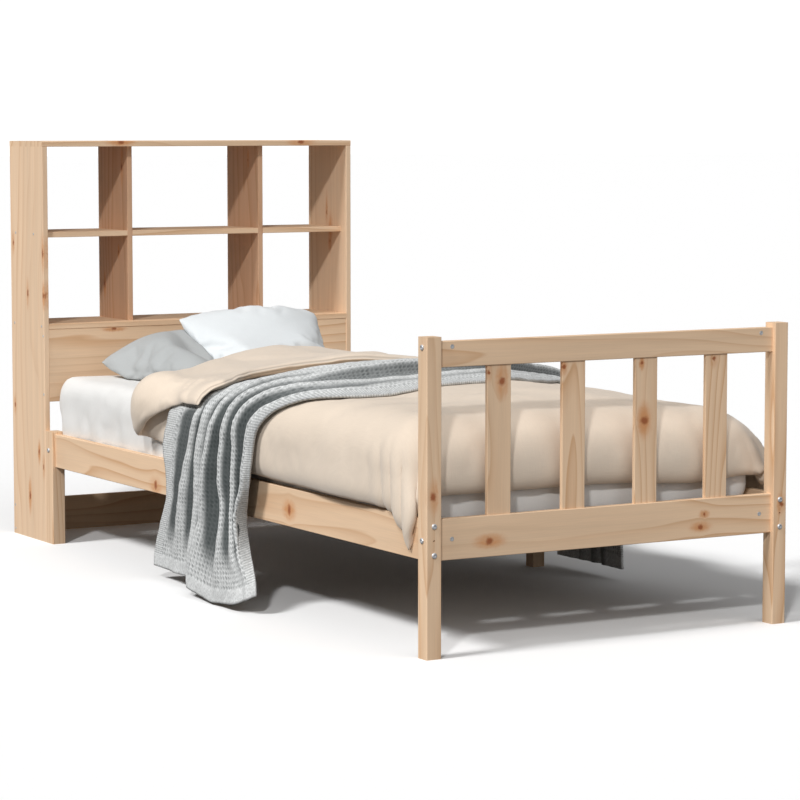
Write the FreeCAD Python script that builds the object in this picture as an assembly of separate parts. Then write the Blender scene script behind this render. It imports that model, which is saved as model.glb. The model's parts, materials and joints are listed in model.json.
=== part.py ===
import FreeCAD, Part
import math
import os

Vector = FreeCAD.Vector
ALONG_X = Vector(1, 0, 0)
ALONG_Y = Vector(0, 1, 0)
ALONG_Z = Vector(0, 0, 1)

# Bed frame, in millimetres
BED_WIDTH = 955.0
FRAME_LENGTH = 2055.0
POST_WIDTH = 37.0
POST_DEPTH = 38.0
FOOT_POST_HEIGHT = 692.0
HEAD_LEG_DEPTH = 47.0
HEAD_LEG_HEIGHT = 307.0
RAIL_THICKNESS = 18.0
RAIL_HEIGHT = 90.0
RAIL_BOTTOM = 211.0
TOP_RAIL_HEIGHT = 56.0
TOP_RAIL_DROP = 10.0
FOOT_SLAT_COUNT = 4
FOOT_SLAT_WIDTH = 60.0
FOOT_SLAT_THICKNESS = 10.0
FOOT_SLAT_PITCH = 192.0
MORTISE_DEPTH = 12.0
EDGE_RADIUS = 2.5
BOARD_CHAMFER = 1.2

# Slat deck and middle legs
LEDGER_WIDTH = 20.0
LEDGER_HEIGHT = 30.0
LEDGER_RISE = 12.0
DECK_SLAT_COUNT = 13
DECK_SLAT_WIDTH = 68.0
DECK_SLAT_THICKNESS = 12.0
MID_LEG_SIZE = 34.0

# Bookcase headboard
CASE_DEPTH = 228.0
CASE_HEIGHT = 1095.0
BOARD = 15.0
DIVIDER_SETBACK = 33.0
SIDE_BAY = 252.0
SHELF_HEIGHT = 833.0
CASE_FLOOR_HEIGHT = 584.0
PANEL_HEIGHT = 198.0
PANEL_SETBACK = 2.0
FLOOR_RAIL_HEIGHT = 94.0

# Knock-down hardware
BOLT_DIAMETER = 6.0
BOLT_HEAD_DIAMETER = 13.0
BOLT_HEAD_HEIGHT = 3.6
BOLT_PLAY = 0.3
NUT_DIAMETER = 10.0
NUT_LENGTH = 15.0
NUT_SET = 32.0
NUT_PLAY = 0.1
SIDE_BOLT_SPREAD = 62.5
TOP_BOLT_DROP = 12.4
COUNTERBORE_DEPTH = 6.0
LOCATING_HOLE = 4.5
TENON_DEPTH = 12.0
TENON_HEIGHT = 20.0
TENON_THICKNESS = 6.0
TENON_PLAY = 0.2
TENON_OFFSET = 22.0
BRACKET_LEG = 40.0
BRACKET_THICKNESS = 2.0
BRACKET_HEIGHT = 18.0

# Bedding
MATTRESS_THICKNESS = 190.0
MATTRESS_CORNER = 60.0
MATTRESS_EDGE = 35.0
MATTRESS_PLAY = 2.0
FOOT_DRAPE = 42.0
DUVET_OVERHANG = 18.0
DUVET_HEM = 18.0
DUVET_EDGE = 61.0
DUVET_CROWN = 28.0
DUVET_LEAN = 8.5
LEFT_SHOULDER = 105.0
RIGHT_SHOULDER = 190.0
FOOT_SHOULDER = 130.0
FLAP_WIDTH = 460.0
FLAP_LOFT = 20.0
HEM_SKEW = 0.2
CREST_SKEW = 0.44
PILLOW_ROOM = 418.0
THROW_PLEATS = 5
THROW_CHORDS = 2
THROW_THICKNESS = 5.0
THROW_LIFT = 22.0
PILLOW_WIDTH = 480.0
PILLOW_DEPTH = 450.0
PALE_DEPTH = 400.0
PILLOW_CROWN = 98.0
PILLOW_SAG = 38.0
GREY_BACK = 72.0
PALE_BACK = 136.0
PALE_LIFT = 86.0
SOFT_GAP = 0.3

# Places that follow from the sizes above; the origin is on the floor under the middle of the bed
half = BED_WIDTH / 2
length = FRAME_LENGTH + CASE_DEPTH
foot = -length / 2
post_back = foot + POST_DEPTH
case_front = foot + FRAME_LENGTH
case_back = case_front + CASE_DEPTH
leg_front = case_front - HEAD_LEG_DEPTH
rail_x = half - POST_WIDTH / 2
rail_in = rail_x - RAIL_THICKNESS / 2
rail_out = rail_x + RAIL_THICKNESS / 2
rail_top = RAIL_BOTTOM + RAIL_HEIGHT
rail_mid = RAIL_BOTTOM + RAIL_HEIGHT / 2
foot_y = foot + POST_DEPTH / 2
head_y = leg_front + HEAD_LEG_DEPTH / 2
post_in = half - POST_WIDTH
top_rail_top = FOOT_POST_HEIGHT - TOP_RAIL_DROP
top_rail_bottom = top_rail_top - TOP_RAIL_HEIGHT
ledger_bottom = RAIL_BOTTOM + LEDGER_RISE
ledger_top = ledger_bottom + LEDGER_HEIGHT
deck_top = ledger_top + DECK_SLAT_THICKNESS
mid_y = (post_back + leg_front) / 2
case_in = half - BOARD
divider_x = case_in - SIDE_BAY - BOARD / 2
shelf_front = case_front + DIVIDER_SETBACK
case_floor_top = CASE_FLOOR_HEIGHT + BOARD
top_board_bottom = CASE_HEIGHT - BOARD
mattress_top = deck_top + MATTRESS_THICKNESS
bolt_reach = NUT_SET - NUT_DIAMETER / 2 - 1.0
end_clear = 2 * NUT_SET

parts = {}


def box(x, y, z):
    """A box between three pairs of limits."""
    corner = Vector(x[0], y[0], z[0])
    return Part.makeBox(x[1] - x[0], y[1] - y[0], z[1] - z[0], corner)


def eased(shape, direction, radius=EDGE_RADIUS):
    """Round the straight edges that run along one direction."""
    edges = [e for e in shape.Edges if abs(e.tangentAt(e.FirstParameter).dot(direction)) > 0.999]
    return shape.makeFillet(radius, edges)


def planed(shape, direction):
    """Take a small chamfer off the edges that run along one direction."""
    edges = [e for e in shape.Edges if abs(e.tangentAt(e.FirstParameter).dot(direction)) > 0.999]
    return shape.makeChamfer(BOARD_CHAMFER, edges)


def rod(start, direction, reach, diameter):
    """A round bar or drill from a point."""
    return Part.makeCylinder(diameter / 2, reach, start, direction)


def minus(shape, tools):
    """Cut every tool out of a shape and keep a clean solid."""
    if not tools:
        return shape
    cut = shape.cut(tools)
    return cut.removeSplitter()


def biggest(shape):
    """The largest solid of a shape."""
    return max(shape.Solids, key=lambda s: s.Volume)


def pointed(shape, point, direction):
    """Move a shape made along +Z so that it starts at a point and runs along a direction."""
    turn = FreeCAD.Rotation(ALONG_Z, direction)
    moved = shape.copy()
    moved.Placement = FreeCAD.Placement(point, turn)
    return moved


def add_group(name, solids):
    """Separate solids of one kind share a node."""
    parts[name] = Part.makeCompound(solids)


class BoltedJoint:
    """One bolt into a cross nut: the head seat, the way it points and the lengths on the way."""

    def __init__(self, seat, direction, first, nut_axis):
        self.seat = seat
        self.direction = direction
        self.first = first
        self.nut_axis = nut_axis
        self.nut_centre = seat + direction * (first + NUT_SET)

    def clearance(self):
        bore = BOLT_DIAMETER + 2 * BOLT_PLAY
        return rod(self.seat - self.direction * 1.0, self.direction, self.first + 1.5, bore)

    def end_bore(self):
        bore = BOLT_DIAMETER + 2 * BOLT_PLAY
        start = self.seat + self.direction * (self.first - 0.5)
        return rod(start, self.direction, bolt_reach + 1.1, bore)

    def bolt(self):
        r = BOLT_DIAMETER / 2
        head = BOLT_HEAD_DIAMETER / 2
        reach = self.first + bolt_reach
        outline = [
            (0, -BOLT_HEAD_HEIGHT),
            (head, -BOLT_HEAD_HEIGHT),
            (head, 0),
            (r, 0),
            (r, reach),
            (0, reach),
        ]
        points = [Vector(a, 0, b) for a, b in outline]
        face = Part.Face(Part.makePolygon(points + points[:1]))
        turned = face.revolve(Vector(0, 0, 0), ALONG_Z, 360)
        return pointed(turned, self.seat, self.direction)

    def nut(self):
        start = self.nut_centre - self.nut_axis * (NUT_LENGTH / 2)
        return rod(start, self.nut_axis, NUT_LENGTH, NUT_DIAMETER)

    def nut_hole(self):
        """Open on the side that the nut axis points away from, blind on the other."""
        start = self.nut_centre - self.nut_axis * (RAIL_THICKNESS / 2 + 1.0)
        reach = RAIL_THICKNESS / 2 + 1.0 + NUT_LENGTH / 2 + NUT_PLAY
        return rod(start, self.nut_axis, reach, NUT_DIAMETER + 2 * NUT_PLAY)


# Bolted joints of the frame, with the pieces that each one joins
side_joints_foot = {}
side_joints_head = {}
end_joints = {}
for side, sign in (("left", -1), ("right", 1)):
    heights = (rail_mid - SIDE_BOLT_SPREAD / 2, rail_mid + SIDE_BOLT_SPREAD / 2)
    outward = ALONG_X * sign
    side_joints_foot[side] = [
        BoltedJoint(Vector(sign * rail_x, foot, z), ALONG_Y, POST_DEPTH, outward) for z in heights
    ]
    side_joints_head[side] = [
        BoltedJoint(
            Vector(sign * rail_x, case_front - COUNTERBORE_DEPTH, heights[1]),
            ALONG_Y * -1,
            HEAD_LEG_DEPTH - COUNTERBORE_DEPTH,
            outward,
        )
    ]
    inward = ALONG_X * -sign
    end_joints[side] = {
        "top": BoltedJoint(
            Vector(sign * half, foot_y, top_rail_top - TOP_BOLT_DROP), inward, POST_WIDTH, ALONG_Y
        ),
        "lower": BoltedJoint(Vector(sign * half, foot_y, rail_mid), inward, POST_WIDTH, ALONG_Y),
        "head": BoltedJoint(Vector(sign * half, head_y, rail_mid), inward, POST_WIDTH, ALONG_Y * -1),
    }


def tenon(place, direction, play):
    """A loose tenon across a joint, or its mortise when there is play."""
    long = TENON_DEPTH + play
    thin = TENON_THICKNESS / 2 + play
    tall = TENON_HEIGHT / 2 + play
    if abs(direction.x) > 0.5:
        half_size = Vector(long, thin, tall)
    else:
        half_size = Vector(thin, long, tall)
    low = place - half_size
    high = place + half_size
    return box((low.x, high.x), (low.y, high.y), (low.z, high.z))


lower_tenon_z = rail_mid - TENON_OFFSET
top_tenon_z = top_rail_bottom + 0.3 * TOP_RAIL_HEIGHT
tenons_top = [(Vector(s * post_in, foot_y, top_tenon_z), ALONG_X) for s in (-1, 1)]
tenons_lower = [(Vector(s * post_in, foot_y, lower_tenon_z), ALONG_X) for s in (-1, 1)]
tenons_head = [(Vector(s * post_in, head_y, lower_tenon_z), ALONG_X) for s in (-1, 1)]
tenons_side = [(Vector(s * rail_x, leg_front, lower_tenon_z), ALONG_Y) for s in (-1, 1)]


def mortises_for(places):
    return [tenon(place, way, TENON_PLAY) for place, way in places]


# Foot posts and head legs
for side, sign in (("left", -1), ("right", 1)):
    x = sorted((sign * half, sign * post_in))
    post = eased(box(x, (foot, post_back), (0, FOOT_POST_HEIGHT)), ALONG_Z)
    bores = [j.clearance() for j in side_joints_foot[side]]
    bores += [end_joints[side]["top"].clearance(), end_joints[side]["lower"].clearance()]
    bores += mortises_for(tenons_top + tenons_lower)
    bores.append(rod(Vector(sign * rail_x, foot - 1, rail_mid), ALONG_Y, 13.0, LOCATING_HOLE))
    parts["foot_post_" + side] = minus(post, bores)

    leg = eased(box(x, (leg_front, case_front), (0, HEAD_LEG_HEIGHT)), ALONG_Z)
    bores = [j.clearance() for j in side_joints_head[side]]
    for joint in side_joints_head[side]:
        bores.append(rod(joint.seat, ALONG_Y, COUNTERBORE_DEPTH + 1, BOLT_HEAD_DIAMETER + 1))
    bores.append(end_joints[side]["head"].clearance())
    bores += mortises_for(tenons_head + tenons_side)
    parts["head_leg_" + side] = minus(leg, bores)

# Cross rails, with mortises for the footboard slats
slat_x = [(k - (FOOT_SLAT_COUNT - 1) / 2) * FOOT_SLAT_PITCH for k in range(FOOT_SLAT_COUNT)]
slat_z = (rail_top - MORTISE_DEPTH, top_rail_bottom + MORTISE_DEPTH)


def slat_box(x, play):
    """A footboard slat, or its mortise when there is play."""
    w = FOOT_SLAT_WIDTH / 2 + play
    t = FOOT_SLAT_THICKNESS / 2 + play
    return box((x - w, x + w), (foot_y - t, foot_y + t), (slat_z[0] - play, slat_z[1] + play))


def cross_rail(y, z, joints, tenons):
    t = RAIL_THICKNESS / 2
    rail = planed(box((-post_in, post_in), (y - t, y + t), z), ALONG_X)
    bores = [j.end_bore() for j in joints] + [j.nut_hole() for j in joints]
    return rail, bores + mortises_for(tenons)


mortises = [slat_box(x, 0.2) for x in slat_x]
joints = [end_joints[s]["top"] for s in ("left", "right")]
rail, cuts = cross_rail(foot_y, (top_rail_bottom, top_rail_top), joints, tenons_top)
parts["footboard_top_rail"] = minus(rail, cuts + mortises)
joints = [end_joints[s]["lower"] for s in ("left", "right")]
rail, cuts = cross_rail(foot_y, (RAIL_BOTTOM, rail_top), joints, tenons_lower)
parts["footboard_lower_rail"] = minus(rail, cuts + mortises)
joints = [end_joints[s]["head"] for s in ("left", "right")]
rail, cuts = cross_rail(head_y, (RAIL_BOTTOM, rail_top), joints, tenons_head)
parts["head_cross_rail"] = minus(rail, cuts)
for k, x in enumerate(slat_x):
    parts["footboard_slat_%d" % (k + 1)] = planed(slat_box(x, 0), ALONG_Z)

# Side rails, split ledger strips and notched middle legs
for side, sign in (("left", -1), ("right", 1)):
    x = sorted((sign * rail_in, sign * rail_out))
    rail = planed(box(x, (post_back, leg_front), (RAIL_BOTTOM, rail_top)), ALONG_Y)
    joints = side_joints_foot[side] + side_joints_head[side]
    bores = [j.end_bore() for j in joints]
    parts["side_rail_" + side] = minus(rail, bores + mortises_for(tenons_side))

    strip_x = sorted((sign * rail_in, sign * (rail_in - LEDGER_WIDTH)))
    strip_z = (ledger_bottom, ledger_top)
    clear = end_clear
    parts["slat_ledger_%s_foot" % side] = box(
        strip_x, (post_back + clear, mid_y - MID_LEG_SIZE / 2), strip_z
    )
    parts["slat_ledger_%s_head" % side] = box(
        strip_x, (mid_y + MID_LEG_SIZE / 2, leg_front - clear), strip_z
    )

    across = sorted((sign * rail_out, sign * (rail_out - MID_LEG_SIZE)))
    along = (mid_y - MID_LEG_SIZE / 2, mid_y + MID_LEG_SIZE / 2)
    leg = box(across, along, (0, ledger_top))
    notch = box(sorted((sign * rail_in, sign * (rail_out + 1))), (along[0] - 1, along[1] + 1),
                (RAIL_BOTTOM, ledger_top + 1))
    parts["mid_leg_" + side] = leg.cut(notch)

# Slat deck on the ledger strips
deck_start = post_back + end_clear + DECK_SLAT_WIDTH / 2
deck_end = leg_front - end_clear - DECK_SLAT_WIDTH / 2
for k in range(DECK_SLAT_COUNT):
    y = deck_start + (deck_end - deck_start) * k / (DECK_SLAT_COUNT - 1)
    slat = box(
        (-rail_in + MATTRESS_PLAY, rail_in - MATTRESS_PLAY),
        (y - DECK_SLAT_WIDTH / 2, y + DECK_SLAT_WIDTH / 2),
        (ledger_top, deck_top),
    )
    parts["deck_slat_%02d" % (k + 1)] = slat

# Bookcase headboard
depth = (case_front, case_back)
inner_depth = (shelf_front, case_back)
for side, sign in (("left", -1), ("right", 1)):
    x = sorted((sign * half, sign * case_in))
    parts["case_side_" + side] = planed(box(x, depth, (0, top_board_bottom)), ALONG_Z)
    x = (sign * divider_x - BOARD / 2, sign * divider_x + BOARD / 2)
    divider = box(x, inner_depth, (case_floor_top, top_board_bottom))
    parts["case_divider_" + side] = planed(divider, ALONG_Z)
    x = sorted((sign * case_in, sign * (divider_x + BOARD / 2)))
    shelf = box(x, inner_depth, (SHELF_HEIGHT, SHELF_HEIGHT + BOARD))
    parts["case_shelf_" + side] = planed(shelf, ALONG_X)
middle = box(
    (-divider_x + BOARD / 2, divider_x - BOARD / 2), inner_depth, (SHELF_HEIGHT, SHELF_HEIGHT + BOARD)
)
parts["case_shelf_middle"] = planed(middle, ALONG_X)
top = box((-half, half), depth, (top_board_bottom, CASE_HEIGHT))
parts["case_top"] = planed(top, ALONG_X)
floor_board = box((-case_in, case_in), depth, (CASE_FLOOR_HEIGHT, case_floor_top))
parts["case_bottom_shelf"] = planed(floor_board, ALONG_X)
panel_front = case_front + PANEL_SETBACK
panel_bottom = CASE_FLOOR_HEIGHT - PANEL_HEIGHT
panel = box((-case_in, case_in), (panel_front, panel_front + BOARD), (panel_bottom, CASE_FLOOR_HEIGHT))
parts["headboard_panel"] = planed(panel, ALONG_X)
parts["case_floor_rail"] = box(
    (-case_in, case_in), (case_back - BOARD, case_back), (0, FLOOR_RAIL_HEIGHT)
)

# Hardware groups
side_joints = [j for s in ("left", "right") for j in side_joints_foot[s] + side_joints_head[s]]
cross_joints = [end_joints[s][k] for s in ("left", "right") for k in ("top", "lower", "head")]
add_group("side_rail_bolts", [j.bolt() for j in side_joints])
add_group("cross_rail_bolts", [j.bolt() for j in cross_joints])
add_group("barrel_nuts", [j.nut() for j in cross_joints])
all_tenons = tenons_top + tenons_lower + tenons_head + tenons_side
add_group("loose_tenons", [tenon(place, way, 0) for place, way in all_tenons])
brackets = []
for sign in (-1, 1):
    for z in (0.18 * HEAD_LEG_HEIGHT, 0.52 * HEAD_LEG_HEIGHT):
        x_wall = sorted((sign * case_in, sign * (case_in - BRACKET_THICKNESS)))
        wall = box(x_wall, (case_front, case_front + BRACKET_LEG), (z, z + BRACKET_HEIGHT))
        x_leg = sorted((sign * case_in, sign * (post_in + 1)))
        tail = box(x_leg, (case_front, case_front + BRACKET_THICKNESS), (z, z + BRACKET_HEIGHT))
        brackets.append(wall.fuse(tail).removeSplitter())
add_group("corner_brackets", brackets)


# Bedding
def mattress(grow):
    """A rounded block between the rails, its foot end held back for the drape of the duvet."""
    x = rail_in - MATTRESS_PLAY + grow
    head_end = head_y - RAIL_THICKNESS / 2 - MATTRESS_PLAY
    y = (post_back + FOOT_DRAPE - grow, head_end + grow)
    block = eased(box((-x, x), y, (deck_top - grow, mattress_top + grow)), ALONG_Z, MATTRESS_CORNER)
    rim = [e for e in block.Edges if e.BoundBox.ZMin > mattress_top - 0.01]
    return block.makeFillet(MATTRESS_EDGE, rim)


duvet_w = half + DUVET_OVERHANG
duvet_hem = rail_top + DUVET_HEM
duvet_edge = mattress_top + DUVET_EDGE
drape_start = post_back + MATTRESS_PLAY
crest_y = case_front - PILLOW_ROOM
flap_y = crest_y - FLAP_WIDTH


def outline(inset=0.0, hems=(0.0, 0.0), fall=0.0, crown=1.0, grow=0.0, puff=0.0):
    """Section of the duvet as (x, z) points from its left hem over the top to its right hem."""
    lean = math.radians(DUVET_LEAN)
    edge = duvet_edge - fall + grow
    w = duvet_w - inset + grow
    sides = []
    for sign, shoulder, lift, count in ((-1, LEFT_SHOULDER - puff, hems[0], 3), (1, RIGHT_SHOULDER, hems[1], 4)):
        hem = duvet_hem + lift - grow
        radius = min(shoulder + grow, 0.95 * (edge - hem))
        points = [(sign * w, hem)]
        for k in range(count + 1):
            a = (math.pi / 2 - lean) * k / count
            points.append((sign * (w - radius + radius * math.cos(a)),
                           edge - radius * math.cos(lean) + radius * math.sin(a)))
        sides.append(points)
    left, right = sides
    rise = crown * DUVET_CROWN
    top = [(0.5 * left[-1][0], edge + 0.75 * rise), (0.0, edge + rise), (0.5 * right[-1][0], edge + 0.75 * rise)]
    return left + top + right[::-1]


def ring(y, skew, section):
    points = [Vector(x, y + skew * x, z) for x, z in section]
    return Part.makePolygon(points + points[:1])


def duvet_outline(grow):
    """The outside of the duvet, with its turned-back head end, before the mattress is cut out."""
    trunk = []
    # Round foot end: angle of its arc, how far the sides draw in and the hem lifts
    for angle, inset, lift in ((82, 30, 24), (60, 12, 20), (36, 3, 12), (0, 0, 0)):
        a = math.radians(angle)
        y = drape_start + FOOT_SHOULDER * (1 - math.sin(a)) - (grow if angle == 82 else 0)
        fall = FOOT_SHOULDER * (1 - math.cos(a))
        trunk.append(ring(y, 0, outline(inset, (lift, lift), fall, 0.0, grow)))
    for run, crown in ((150, 0.65), (270, 1.0)):
        trunk.append(ring(drape_start + FOOT_SHOULDER + run, 0, outline(crown=crown, grow=grow)))
    trunk.append(ring(flap_y + 0.1 * FLAP_WIDTH, HEM_SKEW, outline(grow=grow)))
    trunk.append(ring(flap_y + 0.3 * FLAP_WIDTH, HEM_SKEW, outline(0, (20, 0), 30, 1.0, grow)))
    # Turned-back end: how far along, how far its sides draw in, its hems, its rise and how puffed its left edge is
    flap = []
    for share, inset, left, right, rise, puff in (
            (0.0, 6, 137, 87, -0.4, 0), (0.03, -5, 135, 85, 0.7, 0), (0.1, -9, 130, 80, 1.0, 0),
            (0.5, -11, 104, 54, 0.6, 0), (0.93, -8, 53, 3, 0.3, 30), (1.0, 16, 80, 40, -1.1, 30)):
        y = flap_y + share * FLAP_WIDTH + (grow if share == 1.0 else -grow if share == 0.0 else 0)
        skew = HEM_SKEW + share * (CREST_SKEW - HEM_SKEW)
        flap.append(ring(y, skew, outline(inset, (left, right), -rise * FLAP_LOFT, 1.0, grow, puff)))
    return Part.makeLoft(trunk, True, True).fuse(Part.makeLoft(flap, True, True))


def bow(reach, rise, count):
    """Points along a flat arc from -reach to +reach that rises by a given height."""
    radius = (reach * reach + rise * rise) / (2 * rise)
    turn = math.asin(reach / radius)
    angles = [turn * (2 * k / count - 1) for k in range(count + 1)]
    return [(radius * math.sin(a), radius * (math.cos(a) - math.cos(turn))) for a in angles]


def pillow(depth, crown, sag, grow):
    """A cushion with a crowned face, a flatter back and drawn-in sides, its seam at height 0."""
    half_stations = (
        (0.5, 1.0, 0.06),
        (0.465, 0.985, 0.36),
        (0.39, 0.968, 0.62),
        (0.25, 0.95, 0.87),
        (0.1, 0.941, 0.98),
    )
    stations = [(-a, d, h) for a, d, h in half_stations] + list(reversed(half_stations))
    wires = []
    for along, draw, swell in stations:
        x = along * (PILLOW_WIDTH + 2 * grow)
        d = draw * depth / 2 + grow
        face = bow(d, crown * swell + grow, 6)
        back = bow(d, sag * swell + grow, 3)
        points = [Vector(x, y, z) for y, z in face] + [Vector(x, y, -z) for y, z in back[-2:0:-1]]
        wires.append(Part.makePolygon(points + points[:1]))
    return Part.makeLoft(wires, True, True)


def posed(shape, point, tilt, turn):
    """Tip a cushion back about X, turn it about Z and set it down at a point."""
    rotation = FreeCAD.Rotation(ALONG_Z, turn).multiply(FreeCAD.Rotation(ALONG_X, tilt))
    moved = shape.copy()
    moved.Placement = FreeCAD.Placement(point, rotation)
    return moved


def grey_pillow():
    place = Vector(-half * 0.24, case_front - PILLOW_DEPTH / 2 - GREY_BACK, mattress_top + PILLOW_SAG + 0.5)
    return posed(pillow(PILLOW_DEPTH, PILLOW_CROWN, PILLOW_SAG, 0), place, 0, 4)


def pale_pillow(grow):
    place = Vector(half * 0.13, case_front - PALE_DEPTH / 2 - PALE_BACK, mattress_top + PALE_LIFT)
    return posed(pillow(PALE_DEPTH, PILLOW_CROWN * 0.6, PILLOW_SAG * 0.6, grow), place, 24, 4)


parts["mattress"] = mattress(0)
parts["duvet"] = biggest(duvet_outline(0).cut(mattress(SOFT_GAP)))
wide_duvet = duvet_outline(SOFT_GAP)
parts["pillow_pale"] = biggest(pale_pillow(0).cut(wide_duvet))
parts["pillow_grey"] = biggest(grey_pillow().cut([wide_duvet, pale_pillow(SOFT_GAP)]))

# Where the throw's foot and head edges run, from the flap's hem, and how far its folds turn, from the
# left end over the bed to the right end
THROW_PATH = (
    (-435, 105, 70), (-380, 75, 78), (-413, 60, 78), (-430, -95, 70), (-475, -107, 60), (-555, -110, 48),
    (-675, -97, 40), (-725, -135, 36), (-710, -152, 36), (-615, -145, 40), (-465, -125, 55), (-450, -125, 60),
    (-440, -130, 66), (-435, -135, 70), (-450, -145, 75), (-470, -165, 75), (-485, -185, 75),
)


def pleats(width, degrees):
    """Edge of the gathered throw as (along, out) points: the outer side, then back along the inner."""
    turn = math.radians(degrees)
    pitch = width / THROW_PLEATS
    radius = pitch / 4 / math.sin(turn)
    sides = []
    for offset in (THROW_THICKNESS / 2, -THROW_THICKNESS / 2):
        points = []
        for k in range(2 * THROW_PLEATS):
            out = 1 if k % 2 == 0 else -1
            r = radius + out * offset
            for j in range(THROW_CHORDS + 1):
                if k > 0 and j == 0:
                    continue
                a = turn * (2 * j / THROW_CHORDS - 1)
                along = pitch / 2 * (k + 0.5) + r * math.sin(a)
                points.append((along, out * (r * math.cos(a) - radius * math.cos(turn))))
        sides.append(points)
    edge = sides[0] + sides[1][::-1]
    inmost = min(n for _, n in edge)
    return [(along, n - inmost + SOFT_GAP) for along, n in edge]


def throw():
    """The throw follows the duvet: up the left side, over the top and down the right side."""
    hem_rise = duvet_hem - THROW_LIFT
    bed = outline()[1:-1]
    left = [(-duvet_w, THROW_LIFT + hem_rise * s) for s in (0.0, 0.6, 1.0)]
    right = [(duvet_w, THROW_LIFT + hem_rise * s) for s in (0.55, 0.03)]
    line = [Vector(x, 0, z) for x, z in left + bed + right]
    wires = []
    for i, (place, (foot_edge, head_edge, turn)) in enumerate(zip(line, THROW_PATH)):
        ways = []
        for here, there in ((i - 1, i), (i, i + 1)):
            if 0 <= here and there < len(line):
                run = line[there] - line[here]
                ways.append(Vector(-run.z, 0, run.x).normalize())
        out = (ways[0] + ways[-1]).normalize()
        out = out / out.dot(ways[0])
        edge = pleats(head_edge - foot_edge, turn)
        points = [place + out * n + Vector(0, flap_y + foot_edge + along, 0) for along, n in edge]
        wires.append(Part.makePolygon(points + points[:1]))
    return Part.makeLoft(wires, True, True)


parts["throw"] = throw()

os.makedirs("parts", exist_ok=True)
for name, shape in parts.items():
    shape.exportStep("parts/%s.step" % name)
    print(name, len(shape.Solids), shape.isValid(), round(shape.Volume / 1000.0, 1))
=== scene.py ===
import json
import math
import bmesh
import bpy
import numpy
from mathutils import Matrix, Vector, noise

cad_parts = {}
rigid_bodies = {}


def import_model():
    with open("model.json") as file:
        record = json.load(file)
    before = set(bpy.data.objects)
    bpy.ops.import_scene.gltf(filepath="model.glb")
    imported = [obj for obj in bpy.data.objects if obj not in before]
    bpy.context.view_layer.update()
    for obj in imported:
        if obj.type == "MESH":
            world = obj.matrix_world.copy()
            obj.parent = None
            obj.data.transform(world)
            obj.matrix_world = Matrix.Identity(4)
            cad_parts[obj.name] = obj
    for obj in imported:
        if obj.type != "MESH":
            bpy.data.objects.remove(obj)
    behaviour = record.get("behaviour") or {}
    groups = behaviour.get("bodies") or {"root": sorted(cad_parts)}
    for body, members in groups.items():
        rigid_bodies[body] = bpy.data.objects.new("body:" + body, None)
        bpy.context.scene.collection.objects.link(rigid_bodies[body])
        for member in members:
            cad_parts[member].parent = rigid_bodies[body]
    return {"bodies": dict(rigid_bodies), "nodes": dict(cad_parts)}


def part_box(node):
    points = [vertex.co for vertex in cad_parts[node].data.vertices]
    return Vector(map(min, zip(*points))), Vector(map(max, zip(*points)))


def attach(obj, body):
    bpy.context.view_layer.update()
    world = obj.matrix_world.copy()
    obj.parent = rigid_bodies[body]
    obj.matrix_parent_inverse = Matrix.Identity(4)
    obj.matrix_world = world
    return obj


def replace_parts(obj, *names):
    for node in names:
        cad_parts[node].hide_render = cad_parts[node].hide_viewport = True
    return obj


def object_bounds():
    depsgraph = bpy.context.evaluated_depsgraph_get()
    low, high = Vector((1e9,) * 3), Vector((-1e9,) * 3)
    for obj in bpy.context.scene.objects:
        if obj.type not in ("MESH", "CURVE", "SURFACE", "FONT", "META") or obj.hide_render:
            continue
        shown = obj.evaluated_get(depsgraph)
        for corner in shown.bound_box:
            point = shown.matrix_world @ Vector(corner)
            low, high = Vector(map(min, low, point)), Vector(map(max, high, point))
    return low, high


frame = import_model()
CAD_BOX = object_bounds()
BODY = next(iter(frame["bodies"]))

bl_info = {
    "name": "Pine bed with bookcase headboard",
    "version": (1, 0, 0),
    "blender": (4, 5, 0),
    "location": "3D View > Sidebar > Pine bed",
    "description": "Finishes the packed bed: pine, hardware, mattress, duvet, pillows and throw",
    "category": "Object",
}

FOOT_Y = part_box("foot_post_left")[0][1]
POST_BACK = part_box("foot_post_left")[1][1]
MATTRESS_LOW, MATTRESS_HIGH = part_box("mattress")
MATTRESS_EDGE = 0.035
UP, DOWN, FORWARD, BACKWARD = (0, 0, 1), (0, 0, -1), (0, -1, 0), (0, 1, 0)


def tint(name, description, default):
    return bpy.props.FloatVectorProperty(
        name=name, description=description, subtype="COLOR", size=3, default=default)


def metres(name, description, default):
    return bpy.props.FloatProperty(name=name, description=description, unit="LENGTH", default=default)


class BedFinish(bpy.types.PropertyGroup):
    """Colours of the bed's wood, cloth and metal"""

    early: tint("Early wood", "Pale part of a growth ring", (0.825, 0.595, 0.40))
    late: tint("Late wood", "Dark line of a growth ring", (0.60, 0.335, 0.165))
    knot: tint("Knot", "Core of a knot", (0.34, 0.10, 0.035))
    linen: tint("Duvet linen", "Cover of the duvet", (0.73, 0.618, 0.503))
    sheet: tint("Sheet cotton", "Fitted sheet of the mattress", (0.775, 0.765, 0.745))
    grey_case: tint("Grey pillowcase", "Case of the flat pillow", (0.41, 0.425, 0.425))
    pale_case: tint("Pale pillowcase", "Case of the leaning pillow", (0.675, 0.705, 0.72))
    knit: tint("Throw yarn", "Yarn of the throw", (0.66, 0.67, 0.665))
    zinc: tint("Zinc", "Plating of bolts and screws", (0.72, 0.73, 0.75))


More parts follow.
